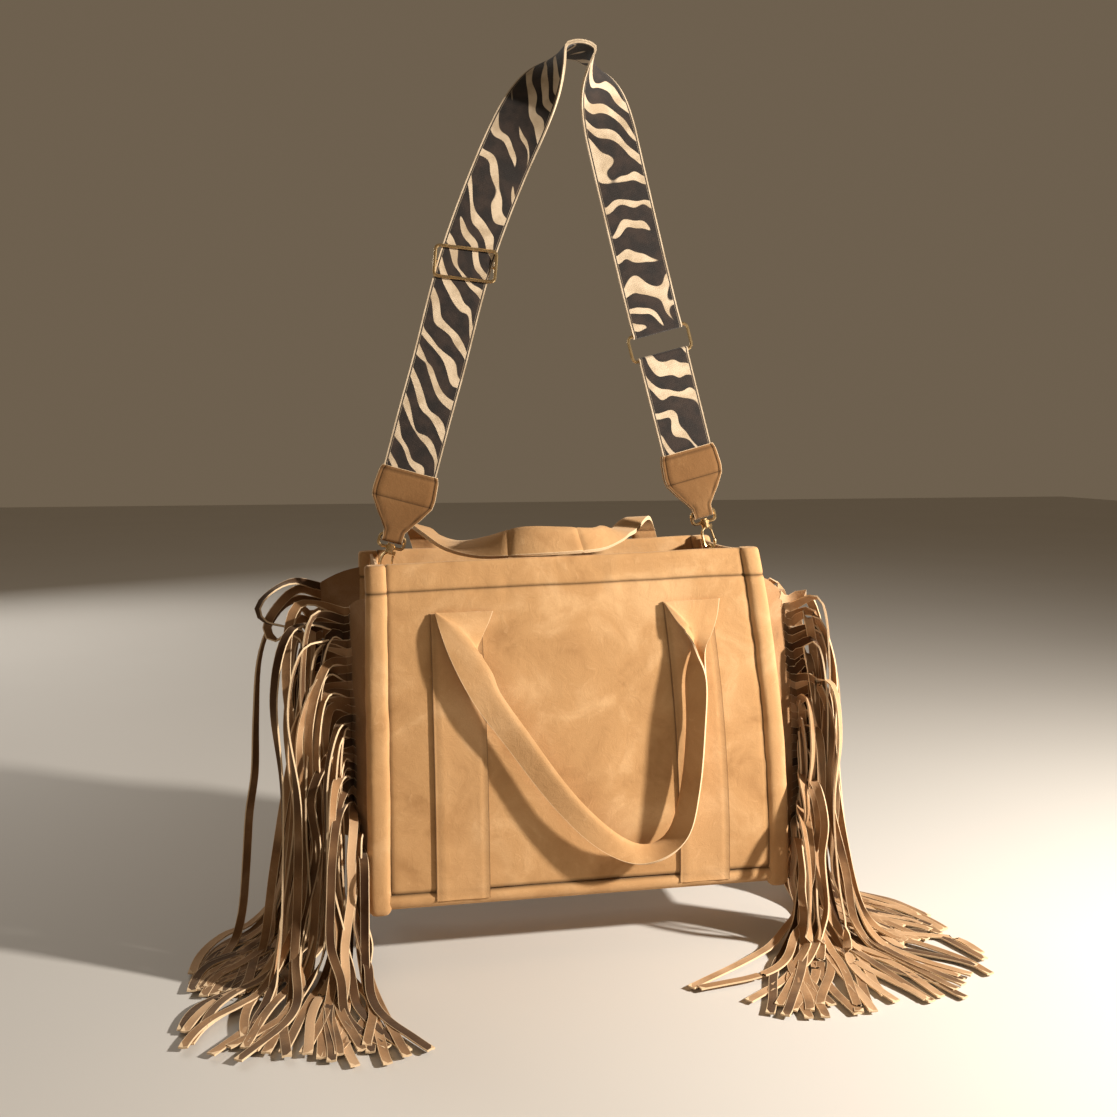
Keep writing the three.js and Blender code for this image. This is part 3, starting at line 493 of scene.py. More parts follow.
for side, word in SIDES:
    fit(gusset(f"{word}_side_suede", side), "suede_body", f"{word}_gusset")

# %% [markdown]
# ### The base
#
# The base is one strip whose long edges turn up as a low band along the foot of each face. Its
# pattern runs from one band's top edge to the other's: up, round a bend, across, and the same
# again. Only the bands swell and ripple, because the base itself is stiffened.

# %% The base
BASE_EDGE = 186.5
BEND = 8


def base():
    half = DEPTH / 2 - SHEET / 2
    flat = half - BEND
    arc = BEND * math.pi / 2
    up = BAND - BEND - 1.6
    total = flat + arc + up
    columns = steps(-BASE_EDGE, BASE_EDGE, 90)
    rows = [-total + up * k / 4 for k in range(4)]
    rows += [-(flat + arc * k / 6) for k in range(6, 0, -1)]
    rows += steps(-flat, flat, 20)
    rows += [flat + arc * k / 6 for k in range(1, 7)]
    rows += [flat + arc + up * k / 4 for k in range(1, 5)]

    def place(x, b):
        reach = abs(b)
        side = -1 if b < 0 else 1
        if reach <= flat:
            y, z = reach, SHEET / 2
        elif reach <= flat + arc:
            angle = (reach - flat) / BEND
            y, z = flat + BEND * math.sin(angle), SHEET / 2 + BEND * (1 - math.cos(angle))
        else:
            y, z = half, SHEET / 2 + BEND + (reach - flat - arc)
        swell = math.sin(math.pi * min(max(z / (BAND - 0.5), 0), 1))
        y += (1.5 + 0.7 * ripple(x, b, 22, 3)) * swell if reach > flat else 0
        z += 0.8 * ripple(x, 4, 60, 8) if reach > flat + arc else 0
        return Vector((x, DEPTH / 2 + side * y, z))

    def crease(x, b):
        return near(abs(b) - total, 1.6)

    return sheet("base_suede", columns, rows, place, SHEET, SUEDE_TRIM, crease=crease)


fit(base(), "suede_trim", "base_panel")

# %% [markdown]
# ## The corner rolls
#
# At each upright corner the side's edge is wrapped over a filler and sewn to the face, so it
# stands as a soft flat-fronted roll with a turned-in top and a blunt foot. A closed tube of
# rounded section makes it, with rings that close over both ends: a grid is bent round until its
# sides meet, and merging the doubles closes it.

# %% The rolls
ROLL_IN, ROLL_Y = 190, 5
ROLL_HALF = (10.6, 8.6)
ROLL_FOOT, ROLL_TOP = -3.5, 315
MERGE = 0.0003


def roll(name, side, front):
    foot = [(0, 0.02), (0.3, 0.45), (1.4, 0.72), (3.6, 0.9), (7, 1)]
    top = [(3, 0.99), (1, 0.93), (0.2, 0.8), (0, 0.55), (0.8, 0.3), (1.2, 0.02)]
    hem = (287, 288.5, 290, 291.5, 293, 297, 302, 307)
    rings = [(ROLL_FOOT + up, size) for up, size in foot]
    rings += [(z, 1) for z in steps(12, 284, 56)]
    rings += [(z, 1 - 0.07 * near(z - HEM_LINE, 2)) for z in hem]
    rings += [(ROLL_TOP - down, size) for down, size in top]
    turn = steps(0, 360, 40)
    seed = 11 + side * 2 + front
    sizes = dict(enumerate(rings))

    def place(angle, index):
        z, size = sizes[index]
        round_x, round_y = math.cos(math.radians(angle)), math.sin(math.radians(angle))
        flat_x = math.copysign(abs(round_x) ** 0.7, round_x)
        flat_y = math.copysign(abs(round_y) ** 0.75, round_y)
        soft = 1 + 0.05 * ripple(round_x * 30, z, 30, seed)
        soft += 0.05 * ripple(angle, z, 17, seed + 2) * near(angle - 180 if angle > 90 else angle, 60)
        x = side * ROLL_IN + ROLL_HALF[0] * size * soft * flat_x + 1.3 * ripple(3, z, 80, seed)
        depth = ROLL_Y + ROLL_HALF[1] * size * soft * flat_y
        return settle(x, depth if front else DEPTH - depth, z)

    def crease(angle, index):
        return near(sizes[index][0] - HEM_LINE, 1.3)

    piece = sheet(name, turn, list(sizes), place, 0, SUEDE_TRIM, crease=crease, loose=True)
    deselect_all()
    bpy.context.view_layer.objects.active = piece
    piece.select_set(True)
    bpy.ops.object.mode_set(mode="EDIT")
    bpy.ops.mesh.select_all(action="SELECT")
    bpy.ops.mesh.remove_doubles(threshold=MERGE)
    bpy.ops.mesh.normals_make_consistent(inside=False)
    bpy.ops.object.mode_set(mode="OBJECT")
    apply_modifiers(piece)
    return piece


for side, word in SIDES:
    fit(roll(f"front_{word}_roll_suede", side, True), "suede_trim", f"front_{word}_roll")
    fit(roll(f"back_{word}_roll_suede", side, False), "suede_trim", f"back_{word}_roll")

# %% [markdown]
# ## The handles
#
# A handle is one long strip. Its ends are sewn flat to the face as legs, then the strip turns
# over at the top of each leg and is creased lengthwise, so the loop is two layers thick. The
# crease starts at the leg's corner and leaves a small triangle of single suede. The loop is
# drawn by three lines: the crease and the two cut edges. A line is given by a few points, and a
# curve that passes through all of them joins them, so a fold can be moved point by point.

# %% Smooth lines
def smooth_line(points, spans):
    """Points along a soft curve through the points given, spans of them between each pair."""
    padded = [points[0] * 2 - points[1], *points, points[-1] * 2 - points[-2]]
    line = []
    for k in range(1, len(padded) - 2):
        p0, p1, p2, p3 = padded[k - 1:k + 3]
        for i in range(spans):
            t = i / spans
            line.append(0.5 * (2 * p1 + (p2 - p0) * t + (2 * p0 - 5 * p1 + 4 * p2 - p3) * t * t
                               + (3 * p1 - p0 - 3 * p2 + p3) * t * t * t))
    line.append(points[-1])
    return line


def tangents(line):
    last = len(line) - 1
    return [(line[min(i + 1, last)] - line[max(i - 1, 0)]).normalized() for i in range(len(line))]


def lengths_along(line, start=0.0):
    """How far along the line each of its points is."""
    lengths = [start]
    for a, b in zip(line, line[1:]):
        lengths.append(lengths[-1] + (b - a).length)
    return lengths


corner = smooth_line([Vector((0, 0, 0)), Vector((10, 0, 0)), Vector((10, 10, 0))], 8)
print("a corner of 20 mm is", round(lengths_along(corner)[-1], 1), "mm as a smooth line")

# %% [markdown]
# ### The folded loop
#
# A strip folded lengthwise is one sheet with two wings. Its pattern runs across from one cut edge
# over the crease to the other, and each wing is spread by half a layer so the two never touch.
# Sweeping a profile along a curve would be quicker, but it can't open the fold at its ends.

# %% The folded loop
LAYER = 1.8
LOOP_HALF = 24.5
SPREAD = 1.05


def folded_loop(name, stations, spans, outwards):
    """Two wings on either side of a crease; a station is (front edge, crease, rear edge)."""
    front, crease, rear = [smooth_line([Vector(s[k]) for s in stations], spans) for k in range(3)]
    ways = tangents(crease)
    wing_lines = [1.6, 4, 8, 14, 20, 23.6, LOOP_HALF]
    across = [-a for a in reversed(wing_lines)] + [0] + wing_lines
    lengths = lengths_along(crease)
    index_of = {length: i for i, length in enumerate(lengths)}

    def place(a, b):
        i = index_of[b]
        wing = front[i] if a < 0 else rear[i]
        share = abs(a) / LOOP_HALF
        point = crease[i].lerp(wing, share)
        lift = (wing - crease[i]).cross(ways[i])
        if lift.length < 1e-6:
            return point
        lift.normalize()
        if lift.dot(Vector(outwards(i / len(lengths)))) < 0:
            lift = -lift
        open_by = SPREAD * min(1, share * 6) * min(1, (front[i] - crease[i]).length / 8)
        return point + lift * open_by * (1 if a < 0 else -1)

    return sheet(name, across, lengths, place, LAYER, SUEDE_TRIM, edge=cut_sides(across))


print("a loop's strip is", 2 * LOOP_HALF, "mm wide and", LAYER, "mm thick")

# %% [markdown]
# ### The legs
#
# A leg is the same strip sewn flat: it follows the face's relief, stands one layer proud of it,
# and is pulled down along its two rows of stitches. Its rims are darker where they shade the
# face. The pattern has a line just inside each rim, to keep the rim crisp.

# %% The legs
LEG_CENTRE, LEG_WIDTH, LEG_TOP = 115, 49, 270
LEG_SEAM = 22.2
LEG_RIM = 0.9


def leg(name, side, front):
    rows = steps(8, 262, 60) + [266, LEG_TOP]
    plain = steps(-LEG_WIDTH / 2, LEG_WIDTH / 2, 16)
    columns = [plain[0], plain[0] + LEG_RIM, *plain[1:-1], plain[-1] - LEG_RIM, plain[-1]]
    seed = FACE_SEED[front]

    def place(a, z):
        x = side * LEG_CENTRE + a
        depth = -1.3 - relief(x, z, seed) - 0.35 * near(abs(a) - 19, 6)
        depth += 0.9 * near(abs(a) - LEG_SEAM, 1.0) + 0.9 * near(z - 12, 2)
        return settle(x, depth if front else DEPTH - depth, z)

    def crease(a, z):
        return 0.55 * near(abs(a) - LEG_SEAM, 0.8) + 0.8 * near(abs(a) - LEG_WIDTH / 2, 0.7)

    return sheet(name, columns, rows, place, LAYER, SUEDE_TRIM, crease=crease)


print("legs", LEG_WIDTH, "mm wide, up to", LEG_TOP, "mm")

# %% [markdown]
# ### The front handle
#
# The front loop falls over the face: it leaves the left leg slanting down to the right, lies
# along the bottom, turns up and stands edge-on beside the right leg. The first and last
# stations are spread open, where the strip is still single, and the others are closed.

# %% The front handle
def edge_pair(middle, across, half, gap):
    """A closed station: the crease to one side of the middle, both cut edges to the other."""
    middle, across = Vector(middle), Vector(across).normalized()
    crease = middle + across * half
    cut = middle - across * half
    return cut + Vector(gap), crease, cut - Vector(gap)


FRONT_LOOP = [
    ((-138.5, -3.4, 271.5), (-138, -3.6, 272), (-87, -3.4, 272.5)),
    ((-135, -8.0, 257), (-123, -8.4, 262), (-91, -5.6, 263)),
    ((-129.5, -10.2, 240), (-110, -10.8, 249), (-97, -7.4, 251)),
    ((-121.5, -11.6, 221), (-99, -12.6, 233), (-103, -9.4, 236)),
    ((-112.5, -12.8, 203), (-89.5, -13.8, 217), (-102, -10.8, 210)),
    edge_pair((-92, -13.8, 192), (0.82, -0.14, 0.6), 12, (0, -1, 0)),
    edge_pair((-68, -15, 158), (0.82, -0.24, 0.57), 11.4, (0, -1, 0)),
    edge_pair((-29, -17, 104), (0.80, -0.26, 0.6), 10.8, (0, -1, 0)),
    edge_pair((8, -18, 65), (0.62, -0.06, 0.8), 10.2, (0, -1, 0)),
    edge_pair((40, -18, 45.5), (0.25, 0.35, 0.88), 9.2, (0.3, -0.9, 0.3)),
    edge_pair((67, -17.5, 47), (-0.25, 0.78, 0.6), 9.2, (0.5, -0.6, 0.5)),
    edge_pair((86, -17, 66), (-0.56, 0.76, 0.33), 10.2, (0.8, -0.4, 0.2)),
    edge_pair((95.5, -16.5, 108), (-0.5, 0.84, 0.1), 11, (0.9, -0.3, 0)),
    edge_pair((99.5, -16, 160), (-0.48, 0.85, 0), 11.4, (0.9, -0.3, 0)),
    edge_pair((99.5, -15, 205), (-0.55, 0.75, 0), 11.4, (0.9, -0.3, 0)),
    ((101, -18.5, 228), (98, -6.8, 232), (108, -14, 231)),
    ((95, -15, 243), (97.5, -8.8, 248), (116, -9.5, 246)),
    ((83, -9.4, 258), (87.5, -8.6, 262), (122, -6.4, 262)),
    ((72, -3.6, 275.5), (72.5, -3.8, 276), (125, -3.6, 278.5)),
]


def front_outwards(share):
    return (0, -1, 0) if share < 0.55 else (-1, -0.35, 0)


legs = [leg("leg", side, True) for side in (-1, 1)]
loop = folded_loop("loop", FRONT_LOOP, 7, front_outwards)
fit(joined("front_handle_suede", [*legs, loop]), "suede_trim", "front_handle")

# %% [markdown]
# ### The rear handle
#
# The rear loop has fallen forward over the mouth and rests across the rim. Here every station is
# closed, so a station needs only its middle, the way to its crease and half its width.

# %% The rear handle
REAR_LOOP = [
    ((-121, 156, 290), (0.99, 0, 0), 17),
    ((-132, 156.5, 316), (0.99, -0.1, 0), 13),
    ((-139, 137, 338), (0.95, -0.15, -0.25), 13),
    ((-131, 102, 333), (0.82, 0.5, -0.2), 13),
    ((-114, 66, 326), (0.6, 0.75, 0.2), 13.5),
    ((-90, 32, 327), (0.3, 0.75, 0.58), 14.5),
    ((-58, 12, 333), (0.05, 0.62, 0.8), 15),
    ((-20, 8, 334), (-0.05, 0.66, 0.75), 14.5),
    ((12, 15, 334), (-0.2, 0.72, 0.66), 13.5),
    ((32, 38, 337), (-0.6, 0.62, 0.5), 13),
    ((46, 72, 336), (-0.85, 0.45, 0.2), 13),
    ((62, 108, 335), (-0.95, 0.3, 0.05), 13),
    ((84, 138, 344), (-0.98, 0.1, -0.05), 13),
    ((98, 157, 322), (-0.99, 0.05, 0), 13),
    ((101, 156, 296), (-1, 0, 0), 17),
]


def rear_outwards(share):
    return (0, 1, 0) if share < 0.1 or share > 0.9 else (0, -0.7, -0.7)


rear_stations = [edge_pair(at, way, half, (0, 0, 0.01)) for at, way, half in REAR_LOOP]
legs = [leg("leg", side, False) for side in (-1, 1)]
loop = folded_loop("loop", rear_stations, 8, rear_outwards)
fit(joined("back_handle_suede", [*legs, loop]), "suede_trim", "back_handle")

# %% [markdown]
# ## The fringes
#
# A fringe starts as a flat sheet. One edge is sewn into the corner seam, a narrow header stays
# whole, and the rest is cut into strands. Each strand leaves the header edge-on, twists as it
# turns over, falls, and runs out along the surface below. The strands keep the width of the
# cut and the length that is left, so their area is the flat sheet's. Hair curves or a cloth
# simulation could lay them too, but strands placed by rule are repeatable and quick.
#
# Each fringe has pairs of values for its top and its foot: `flare` is where the header's outer
# edge stands, `hang` how far the strands fall from it, and `land` which way they run out.

# %% Fringe patterns
STRANDS = 32
SEAM_X = 204
FRINGE_FOOT = 22
TOP_LENGTH, FOOT_LENGTH = 492, 266
FRINGES = [
    dict(name="left_front", side=-1, y=10, top=284, seed=5, flare=((-16, 28, -8), (-9, 16, 8)),
         hang=((-58, -26), (-2, -42)), land=((-0.6, -0.8), (0.3, -0.95))),
    dict(name="left_back", side=-1, y=141, top=300, seed=8, flare=((-43, 9, -16), (-33, 7, 8)),
         hang=((-34, -22), (-14, -26)), land=((-0.62, -0.78), (-0.3, -0.95))),
    dict(name="right_front", side=1, y=10, top=287, seed=13, flare=((29, 14, -16), (11, 5, 8)),
         hang=((54, -18), (-10, -40)), land=((0.75, -0.66), (-0.62, -0.78))),
    dict(name="right_back", side=1, y=141, top=290, seed=21, flare=((38, -8, -24), (30, 2, 8)),
         hang=((52, -24), (12, -36)), land=((0.5, -0.86), (0.2, -0.98))),
]


def header_edges(fringe, share):
    """The seam's point and the header's outer point at a share of the way down."""
    height = mix(fringe["top"], FRINGE_FOOT, share)
    seam = settle(fringe["side"] * SEAM_X, fringe["y"], height)
    seam.x -= fringe["side"] * 5
    flare = Vector(fringe["flare"][0]).lerp(Vector(fringe["flare"][1]), share)
    wave = 3 * ripple(share * 100, 0, 16, fringe["seed"])
    return seam, seam + flare + Vector((fringe["side"] * (wave - 3), wave, 0))


print(len(FRINGES), "fringes of", STRANDS, "strands")

# %% [markdown]
# ### One strand's way down
#
# A strand's line is a handful of points: out from the header, over, down, a knee near the floor,
# and a wavy run along it. Seeded random draws move each point a little, so that neighbours cross
# and no two are alike. Floor points past a limit are drawn back, to keep the fringe in its space.

# %% The strands' lines
LAID_Z = FLOOR + 1.2
LIMIT_X, LIMIT_Y = 335, 168


def held_in(value, limit):
    """Past the limit a strand gains little more ground, as if the floor dragged it back."""
    past = max(0, abs(value) - limit)
    return math.copysign(min(abs(value), limit) + 22 * math.tanh(past / 60), value)


def strand_line(fringe, share, draw):
    """The middle line of one strand, from the header's edge to past where it is cut."""
    side = fringe["side"]
    seam, edge = header_edges(fringe, share)
    hang = Vector(fringe["hang"][0]).lerp(Vector(fringe["hang"][1]), share).to_3d()
    hang *= draw.uniform(0.55, 1.12)
    hang += Vector((side * draw.uniform(-6, 9), draw.uniform(-16, 16), 0))
    land = Vector(fringe["land"][0]).lerp(Vector(fringe["land"][1]), share)
    angle = math.atan2(land.y, land.x) + math.radians(draw.uniform(-24, 24))
    land = Vector((math.cos(angle), math.sin(angle), 0))
    beside = Vector((-land.y, land.x, 0))
    fall = edge.z - FLOOR
    pile = draw.uniform(1.5, 9)
    curl = draw.uniform(0, 1)
    points = [edge]
    points.append(edge + (edge - seam).normalized() * 12 + Vector((0, 0, -1)))
    points.append(edge + hang * (0.6 + 0.25 * curl) + Vector((0, 0, mix(-4, 7, curl))))
    points.append(edge + hang * 1.02 + Vector((0, 0, -0.15 * fall - 8)))
    middle = edge + hang * draw.uniform(0.9, 1.12)
    points.append(Vector((middle.x, middle.y + draw.uniform(-7, 7), FLOOR + 0.55 * fall)))
    low = edge + hang * 1.05 + land * draw.uniform(2, 14) + beside * draw.uniform(-9, 9)
    points.append(Vector((low.x, low.y, FLOOR + 0.26 * fall)))
    knee = low + land * draw.uniform(12, 24)
    points.append(Vector((knee.x, knee.y, FLOOR + min(0.09 * fall, 20) + pile)))
    bend = draw.uniform(-16, 16)
    for k in range(1, 9):
        run = knee + land * (26 * k) + beside * (bend * math.sin(k * 0.8))
        x, y = held_in(run.x, LIMIT_X), held_in(run.y, LIMIT_Y)
        points.append(Vector((x, y, LAID_Z + pile / (k + 0.3))))
    return smooth_line(points, 6)


trial = strand_line(FRINGES[0], 0.5, random.Random(1))
print("a trial strand falls from", round(trial[0].z), "to", round(trial[-1].z), "mm")

# %% [markdown]
# ### Three loose loops
#
# At the top of the left back fringe three strands stand out and curl over on their own before
# they drop, so their lines are given point by point. Every line is then cut to its strand's
# length and divided evenly, so that all strands get the same number of faces.

# %% Loose loops and cutting to length
LOOSE_LOOPS = [
    [(-262, 112, 290), (-283, 92, 283), (-295, 84, 269), (-289, 84, 256), (-270, 86, 250), (-254, 90, 240),
     (-257, 92, 190), (-262, 90, 120), (-268, 84, 40), (-276, 74, -30), (-284, 60, -46), (-296, 20, -48)],
    [(-258, 116, 282), (-276, 96, 270), (-287, 88, 252), (-281, 86, 238), (-264, 84, 243), (-251, 84, 232),
     (-258, 84, 170), (-272, 80, 100), (-286, 72, 20), (-294, 58, -36), (-300, 30, -48), (-306, -10, -48)],
    [(-264, 126, 270), (-284, 112, 250), (-296, 104, 215), (-300, 100, 160), (-302, 98, 110), (-308, 96, 70),
     (-312, 95, 20), (-316, 92, -20), (-322, 80, -44), (-330, 50, -48), (-336, 20, -48), (-342, 0, -48)],
]


def cut_to_length(line, length, count):
    """count + 1 even points along the first stretch of the line, and how long they are."""
    lengths = lengths_along(line)
    length = min(length, lengths[-1])
    points, k = [], 0
    for i in range(count + 1):
        wanted = length * i / count
        while k < len(lengths) - 2 and lengths[k + 1] < wanted:
            k += 1
        span = lengths[k + 1] - lengths[k]
        points.append(line[k].lerp(line[k + 1], (wanted - lengths[k]) / span))
    return points, length


print(len(LOOSE_LOOPS), "loose loops; the trial strand is", round(lengths_along(trial)[-1]), "mm uncut")

# %% [markdown]
# ### How a strand twists
#
# A flat strip shows its width or its edge as it turns, which is what makes a fringe glitter. The
# width starts along the header's cut, turns to a random heading in the first sixth, drifts to
# another, and lies flat wherever the strand nears the floor.

# %% Strand widths
TURNED_BY = 0.16
SETTLES_WITHIN = 26


def heading(degrees):
    return Vector((math.cos(math.radians(degrees)), math.sin(math.radians(degrees)), 0))


def strand_widths(points, start, draw):
    """The direction of the strand's width at each of its points."""
    first = draw.uniform(-90, 90)
    second = first + draw.uniform(-100, 100)
    one, two = heading(first), heading(second)
    result = []
    for i, way in enumerate(tangents(points)):
        share = i / (len(points) - 1)
        if share < TURNED_BY:
            wide = start.lerp(one, ease(share / TURNED_BY))
        else:
            wide = one.lerp(two, ease((share - TURNED_BY) / 0.5))
        flat = Vector((0, 0, 1)).cross(way)
        on_floor = ease((FLOOR + SETTLES_WITHIN - points[i].z) / SETTLES_WITHIN)
        if flat.length > 1e-4:
            flat.normalize()
            if flat.dot(wide) < 0:
                flat = -flat
            wide = wide.lerp(flat, on_floor)
        wide = wide - way * wide.dot(way)
        if wide.length < 0.2:
            wide = result[-1] - way * result[-1].dot(way) if result else start
        result.append(wide.normalized())
    return result


widths = strand_widths(trial, Vector((0, 0, -1)), random.Random(1))
print("its width turns by", round(math.degrees(widths[0].angle(widths[-1]))), "degrees from end to end")

# %% [markdown]
# ### Cutting the strands
#
# The header is one grid along the seam, and every strand is a strip three points wide whose
# middle is raised a little, as cut suede cups. The mesh is written face by face here, because
# thousands of small strips made with operators would take minutes. Each strand has its own tone.

# %% The fringe's mesh
SECTIONS = 60


def fringe_mesh(fringe):
    draw = random.Random(fringe["seed"])
    verts, faces, edges, tones, pattern = [], [], [], [], []
    area = 0.0
    fall_height = fringe["top"] - FRINGE_FOOT
    width = fall_height / STRANDS

    def add_grid(rows, tone, along, is_cut):
        base = len(verts)
        wide = len(rows[0])
        for r, row in enumerate(rows):
            for c, point in enumerate(row):
                verts.append(spot(*point))
                to_side = min(c, wide - 1 - c) / (wide - 1) * width
                to_end = (len(rows) - 1 - r) * 3
                edges.append(min(to_side, to_end) if is_cut else UNCUT)
                tones.append(tone[r])
                pattern.append((c / (wide - 1) * width / 1000, along[r] / 1000))
        for r in range(len(rows) - 1):
            for c in range(wide - 1):
                a = base + r * wide + c
                faces.append((a, a + 1, a + 1 + wide, a + wide))

    shares = [i / (STRANDS * 2) for i in range(STRANDS * 2 + 1)]
    header = []
    for k in range(6):
        row = []
        for share in shares:
            seam, edge = header_edges(fringe, share)
            point = seam.lerp(edge, k / 5)
            point.z += 2.5 * math.sin(math.pi * k / 5) * (1 - share)
            row.append(point)
        header.append(row)
    add_grid(header, [0.55] * 6, [8.0 * k for k in range(6)], False)
    seam, edge = header_edges(fringe, 0.5)
    area += fall_height * (edge - seam).length
    for n in range(STRANDS):
        share = (n + 0.5) / STRANDS
        upper = header_edges(fringe, n / STRANDS)[1]
        lower = header_edges(fringe, (n + 1) / STRANDS)[1]
        line = strand_line(fringe, share, draw)
        if fringe["name"] == "left_back" and n < len(LOOSE_LOOPS):
            line = smooth_line([line[0], *(Vector(point) for point in LOOSE_LOOPS[n])], 6)
        points, length = cut_to_length(line, mix(TOP_LENGTH, FOOT_LENGTH, share), SECTIONS)
        start = (lower - upper).normalized()
        ways = strand_widths(points, start, draw)
        runs = tangents(points)
        tone = draw.uniform(0, 1)
        rows, tone_rows, along = [], [], []
        for i, point in enumerate(points):
            half = ways[i] * (width * 0.49 * (1 - 0.06 * i / SECTIONS))
            cup = ways[i].cross(runs[i]) * 0.5
            rows.append([point - half, point + cup, point + half])
            shift = 0.25 * ripple(i * 3.0, n * 7.0, 12, fringe["seed"])
            tone_rows.append(min(max(tone + shift, 0), 1))
            along.append(45 + length * i / SECTIONS)
        for row in rows:
            for point in row:
                point.z = max(point.z, LAID_Z)
        add_grid(rows, tone_rows, along, True)
        area += length * width * 0.97
    return verts, faces, edges, tones, pattern, area


print("each strand has", 2 * SECTIONS, "faces before it gets its thickness")

# %% [markdown]
# ### The four fringe pieces
#
# Solidify gives the cut sheets their thickness. A fringe's flat sheet is as wide as its seam is long,
# and as long as the header and the longest strand together. The mesh helper also sums the area
# that the cut leaves, which is less, since the lower strands are shorter.

# %% The fringes
FRINGE_THICK = 1.5


def fringe_piece(fringe):
    verts, faces, edges, tones, pattern, area = fringe_mesh(fringe)
    name = fringe["name"] + "_fringe_suede"
    mesh = bpy.data.meshes.new(name)
    mesh.from_pydata(verts, [], faces)
    layer = mesh.uv_layers.new(name="pattern")
    for loop in mesh.loops:
        layer.data[loop.index].uv = pattern[loop.vertex_index]
    store_mask(mesh, "edge", edges)
    store_mask(mesh, "crease", [0.0] * len(verts))
    store_mask(mesh, "tone", tones)
    mesh.materials.append(SUEDE_FRINGE)
    piece = bpy.data.objects.new(name, mesh)
    bpy.context.scene.collection.objects.link(piece)
    wall = piece.modifiers.new("wall", "SOLIDIFY")
    wall.thickness = FRINGE_THICK / 1000
    wall.offset = 0
    apply_modifiers(piece)
    return piece, area


for fringe in FRINGES:
    piece, area = fringe_piece(fringe)
    fit(piece, "suede_fringe", fringe["name"] + "_fringe")
    word, face = fringe["name"].split("_")

# %% [markdown]
# ## The webbing
#
# The strap is one band of printed webbing. It leaves the left tab, passes through the slider,
# goes over the top, turns round the ring's upper bar and comes back behind itself to the
# slider. A short band joins the ring to the right tab. The pattern follows the band, so it is
# drawn on the UV map: dark branching stripes on cream, with a plain woven edge. The stripes are
# a sine wave along the band, bent by noise, and a second noise breaks and joins them.

# %% The webbing's finish
def make_webbing():
    material = bpy.data.materials.new("webbing")
    material.use_nodes = True
    tree = material.node_tree
    shader = tree.nodes["Principled BSDF"]
    coords = tree.nodes.new("ShaderNodeUVMap")
    coords.uv_map = "UVMap"
    split = tree.nodes.new("ShaderNodeSeparateXYZ")
    tree.links.new(coords.outputs["UV"], split.inputs[0])
    across, along = split.outputs[0], split.outputs[1]
    stretch = tree.nodes.new("ShaderNodeMapping")
    stretch.inputs["Scale"].default_value = (1.0, 0.7, 1.0)
    tree.links.new(coords.outputs["UV"], stretch.inputs["Vector"])
    sway = noise_node(tree, stretch.outputs[0], 24, 1.0, 0.4, 0.3)
    slow = noise_node(tree, stretch.outputs[0], 8, 0.5, 0.4)
    level = math_node(tree, "MULTIPLY", ramp(tree, along, 0.56, 0.62), ramp(tree, along, 0.74, 0.70))
    slant = math_node(tree, "SUBTRACT", 46, math_node(tree, "MULTIPLY", level, 44))
    phase = math_node(tree, "MULTIPLY", along, 36)
    phase = math_node(tree, "SUBTRACT", phase, math_node(tree, "MULTIPLY", across, slant))
    phase = math_node(tree, "ADD", phase, math_node(tree, "MULTIPLY", sway, 2.3))
    phase = math_node(tree, "ADD", phase, math_node(tree, "MULTIPLY", slow, 3.0))
    wave = math_node(tree, "SINE", math_node(tree, "MULTIPLY", phase, 2 * math.pi), 0)
    cover = noise_node(tree, stretch.outputs[0], 30, 1, 0.4)
    cover = math_node(tree, "MULTIPLY", math_node(tree, "SUBTRACT", cover, 0.37), 3.4)
    stripe = ramp(tree, math_node(tree, "ADD", wave, cover), -0.14, -0.02)
    off_middle = math_node(tree, "ABSOLUTE", across, 0)
    selvage = ramp(tree, off_middle, 0.0222, 0.0226)
    line = math_node(tree, "MULTIPLY", ramp(tree, off_middle, 0.0224, 0.0227),
                     ramp(tree, off_middle, 0.0239, 0.0235))
    stripe = math_node(tree, "MULTIPLY", stripe, math_node(tree, "SUBTRACT", 1, selvage))
    ink = math_node(tree, "MAXIMUM", stripe, line)
    dirt = noise_node(tree, coords.outputs["UV"], 60, 3)
    cream = mix_colours(tree, ramp(tree, dirt, 0.35, 0.7), (0.62, 0.49, 0.34, 1), (0.45, 0.34, 0.22, 1))
    black = mix_colours(tree, ramp(tree, dirt, 0.35, 0.7), (0.012, 0.008, 0.006, 1),
                        (0.035, 0.022, 0.016, 1))
    tree.links.new(mix_colours(tree, ink, cream, black), shader.inputs["Base Color"])
    ribs = math_node(tree, "SINE", math_node(tree, "MULTIPLY", along, 2 * math.pi / 0.0013), 0)
    warp = math_node(tree, "SINE", math_node(tree, "MULTIPLY", across, 2 * math.pi / 0.0016), 0)
    weave = math_node(tree, "MULTIPLY", ribs, warp)
    bump = tree.nodes.new("ShaderNodeBump")
    bump.inputs["Strength"].default_value = 0.5
    bump.inputs["Distance"].default_value = 0.0003
    tree.links.new(weave, bump.inputs["Height"])
    tree.links.new(bump.outputs["Normal"], shader.inputs["Normal"])
    rough = math_node(tree, "ADD", 0.62, math_node(tree, "MULTIPLY", dirt, 0.25))
    tree.links.new(rough, shader.inputs["Roughness"])
    shader.inputs["Specular IOR Level"].default_value = 0.25
    shader.inputs["Sheen Weight"].default_value = 0.15
    return material


WEBBING = make_webbing()
print("webbing with", len(WEBBING.node_tree.nodes), "nodes")

# %% [markdown]
# ### Where the strap runs
#
# The strap rises from the left tab through the slider to its highest point, and comes down to
# the ring. These are the same points as in the CAD model, so the bands pass through the slider
# and the ring where those really are. The curve spaces its knots by the root of their distance,
# which keeps it from overshooting where long and short spans meet.

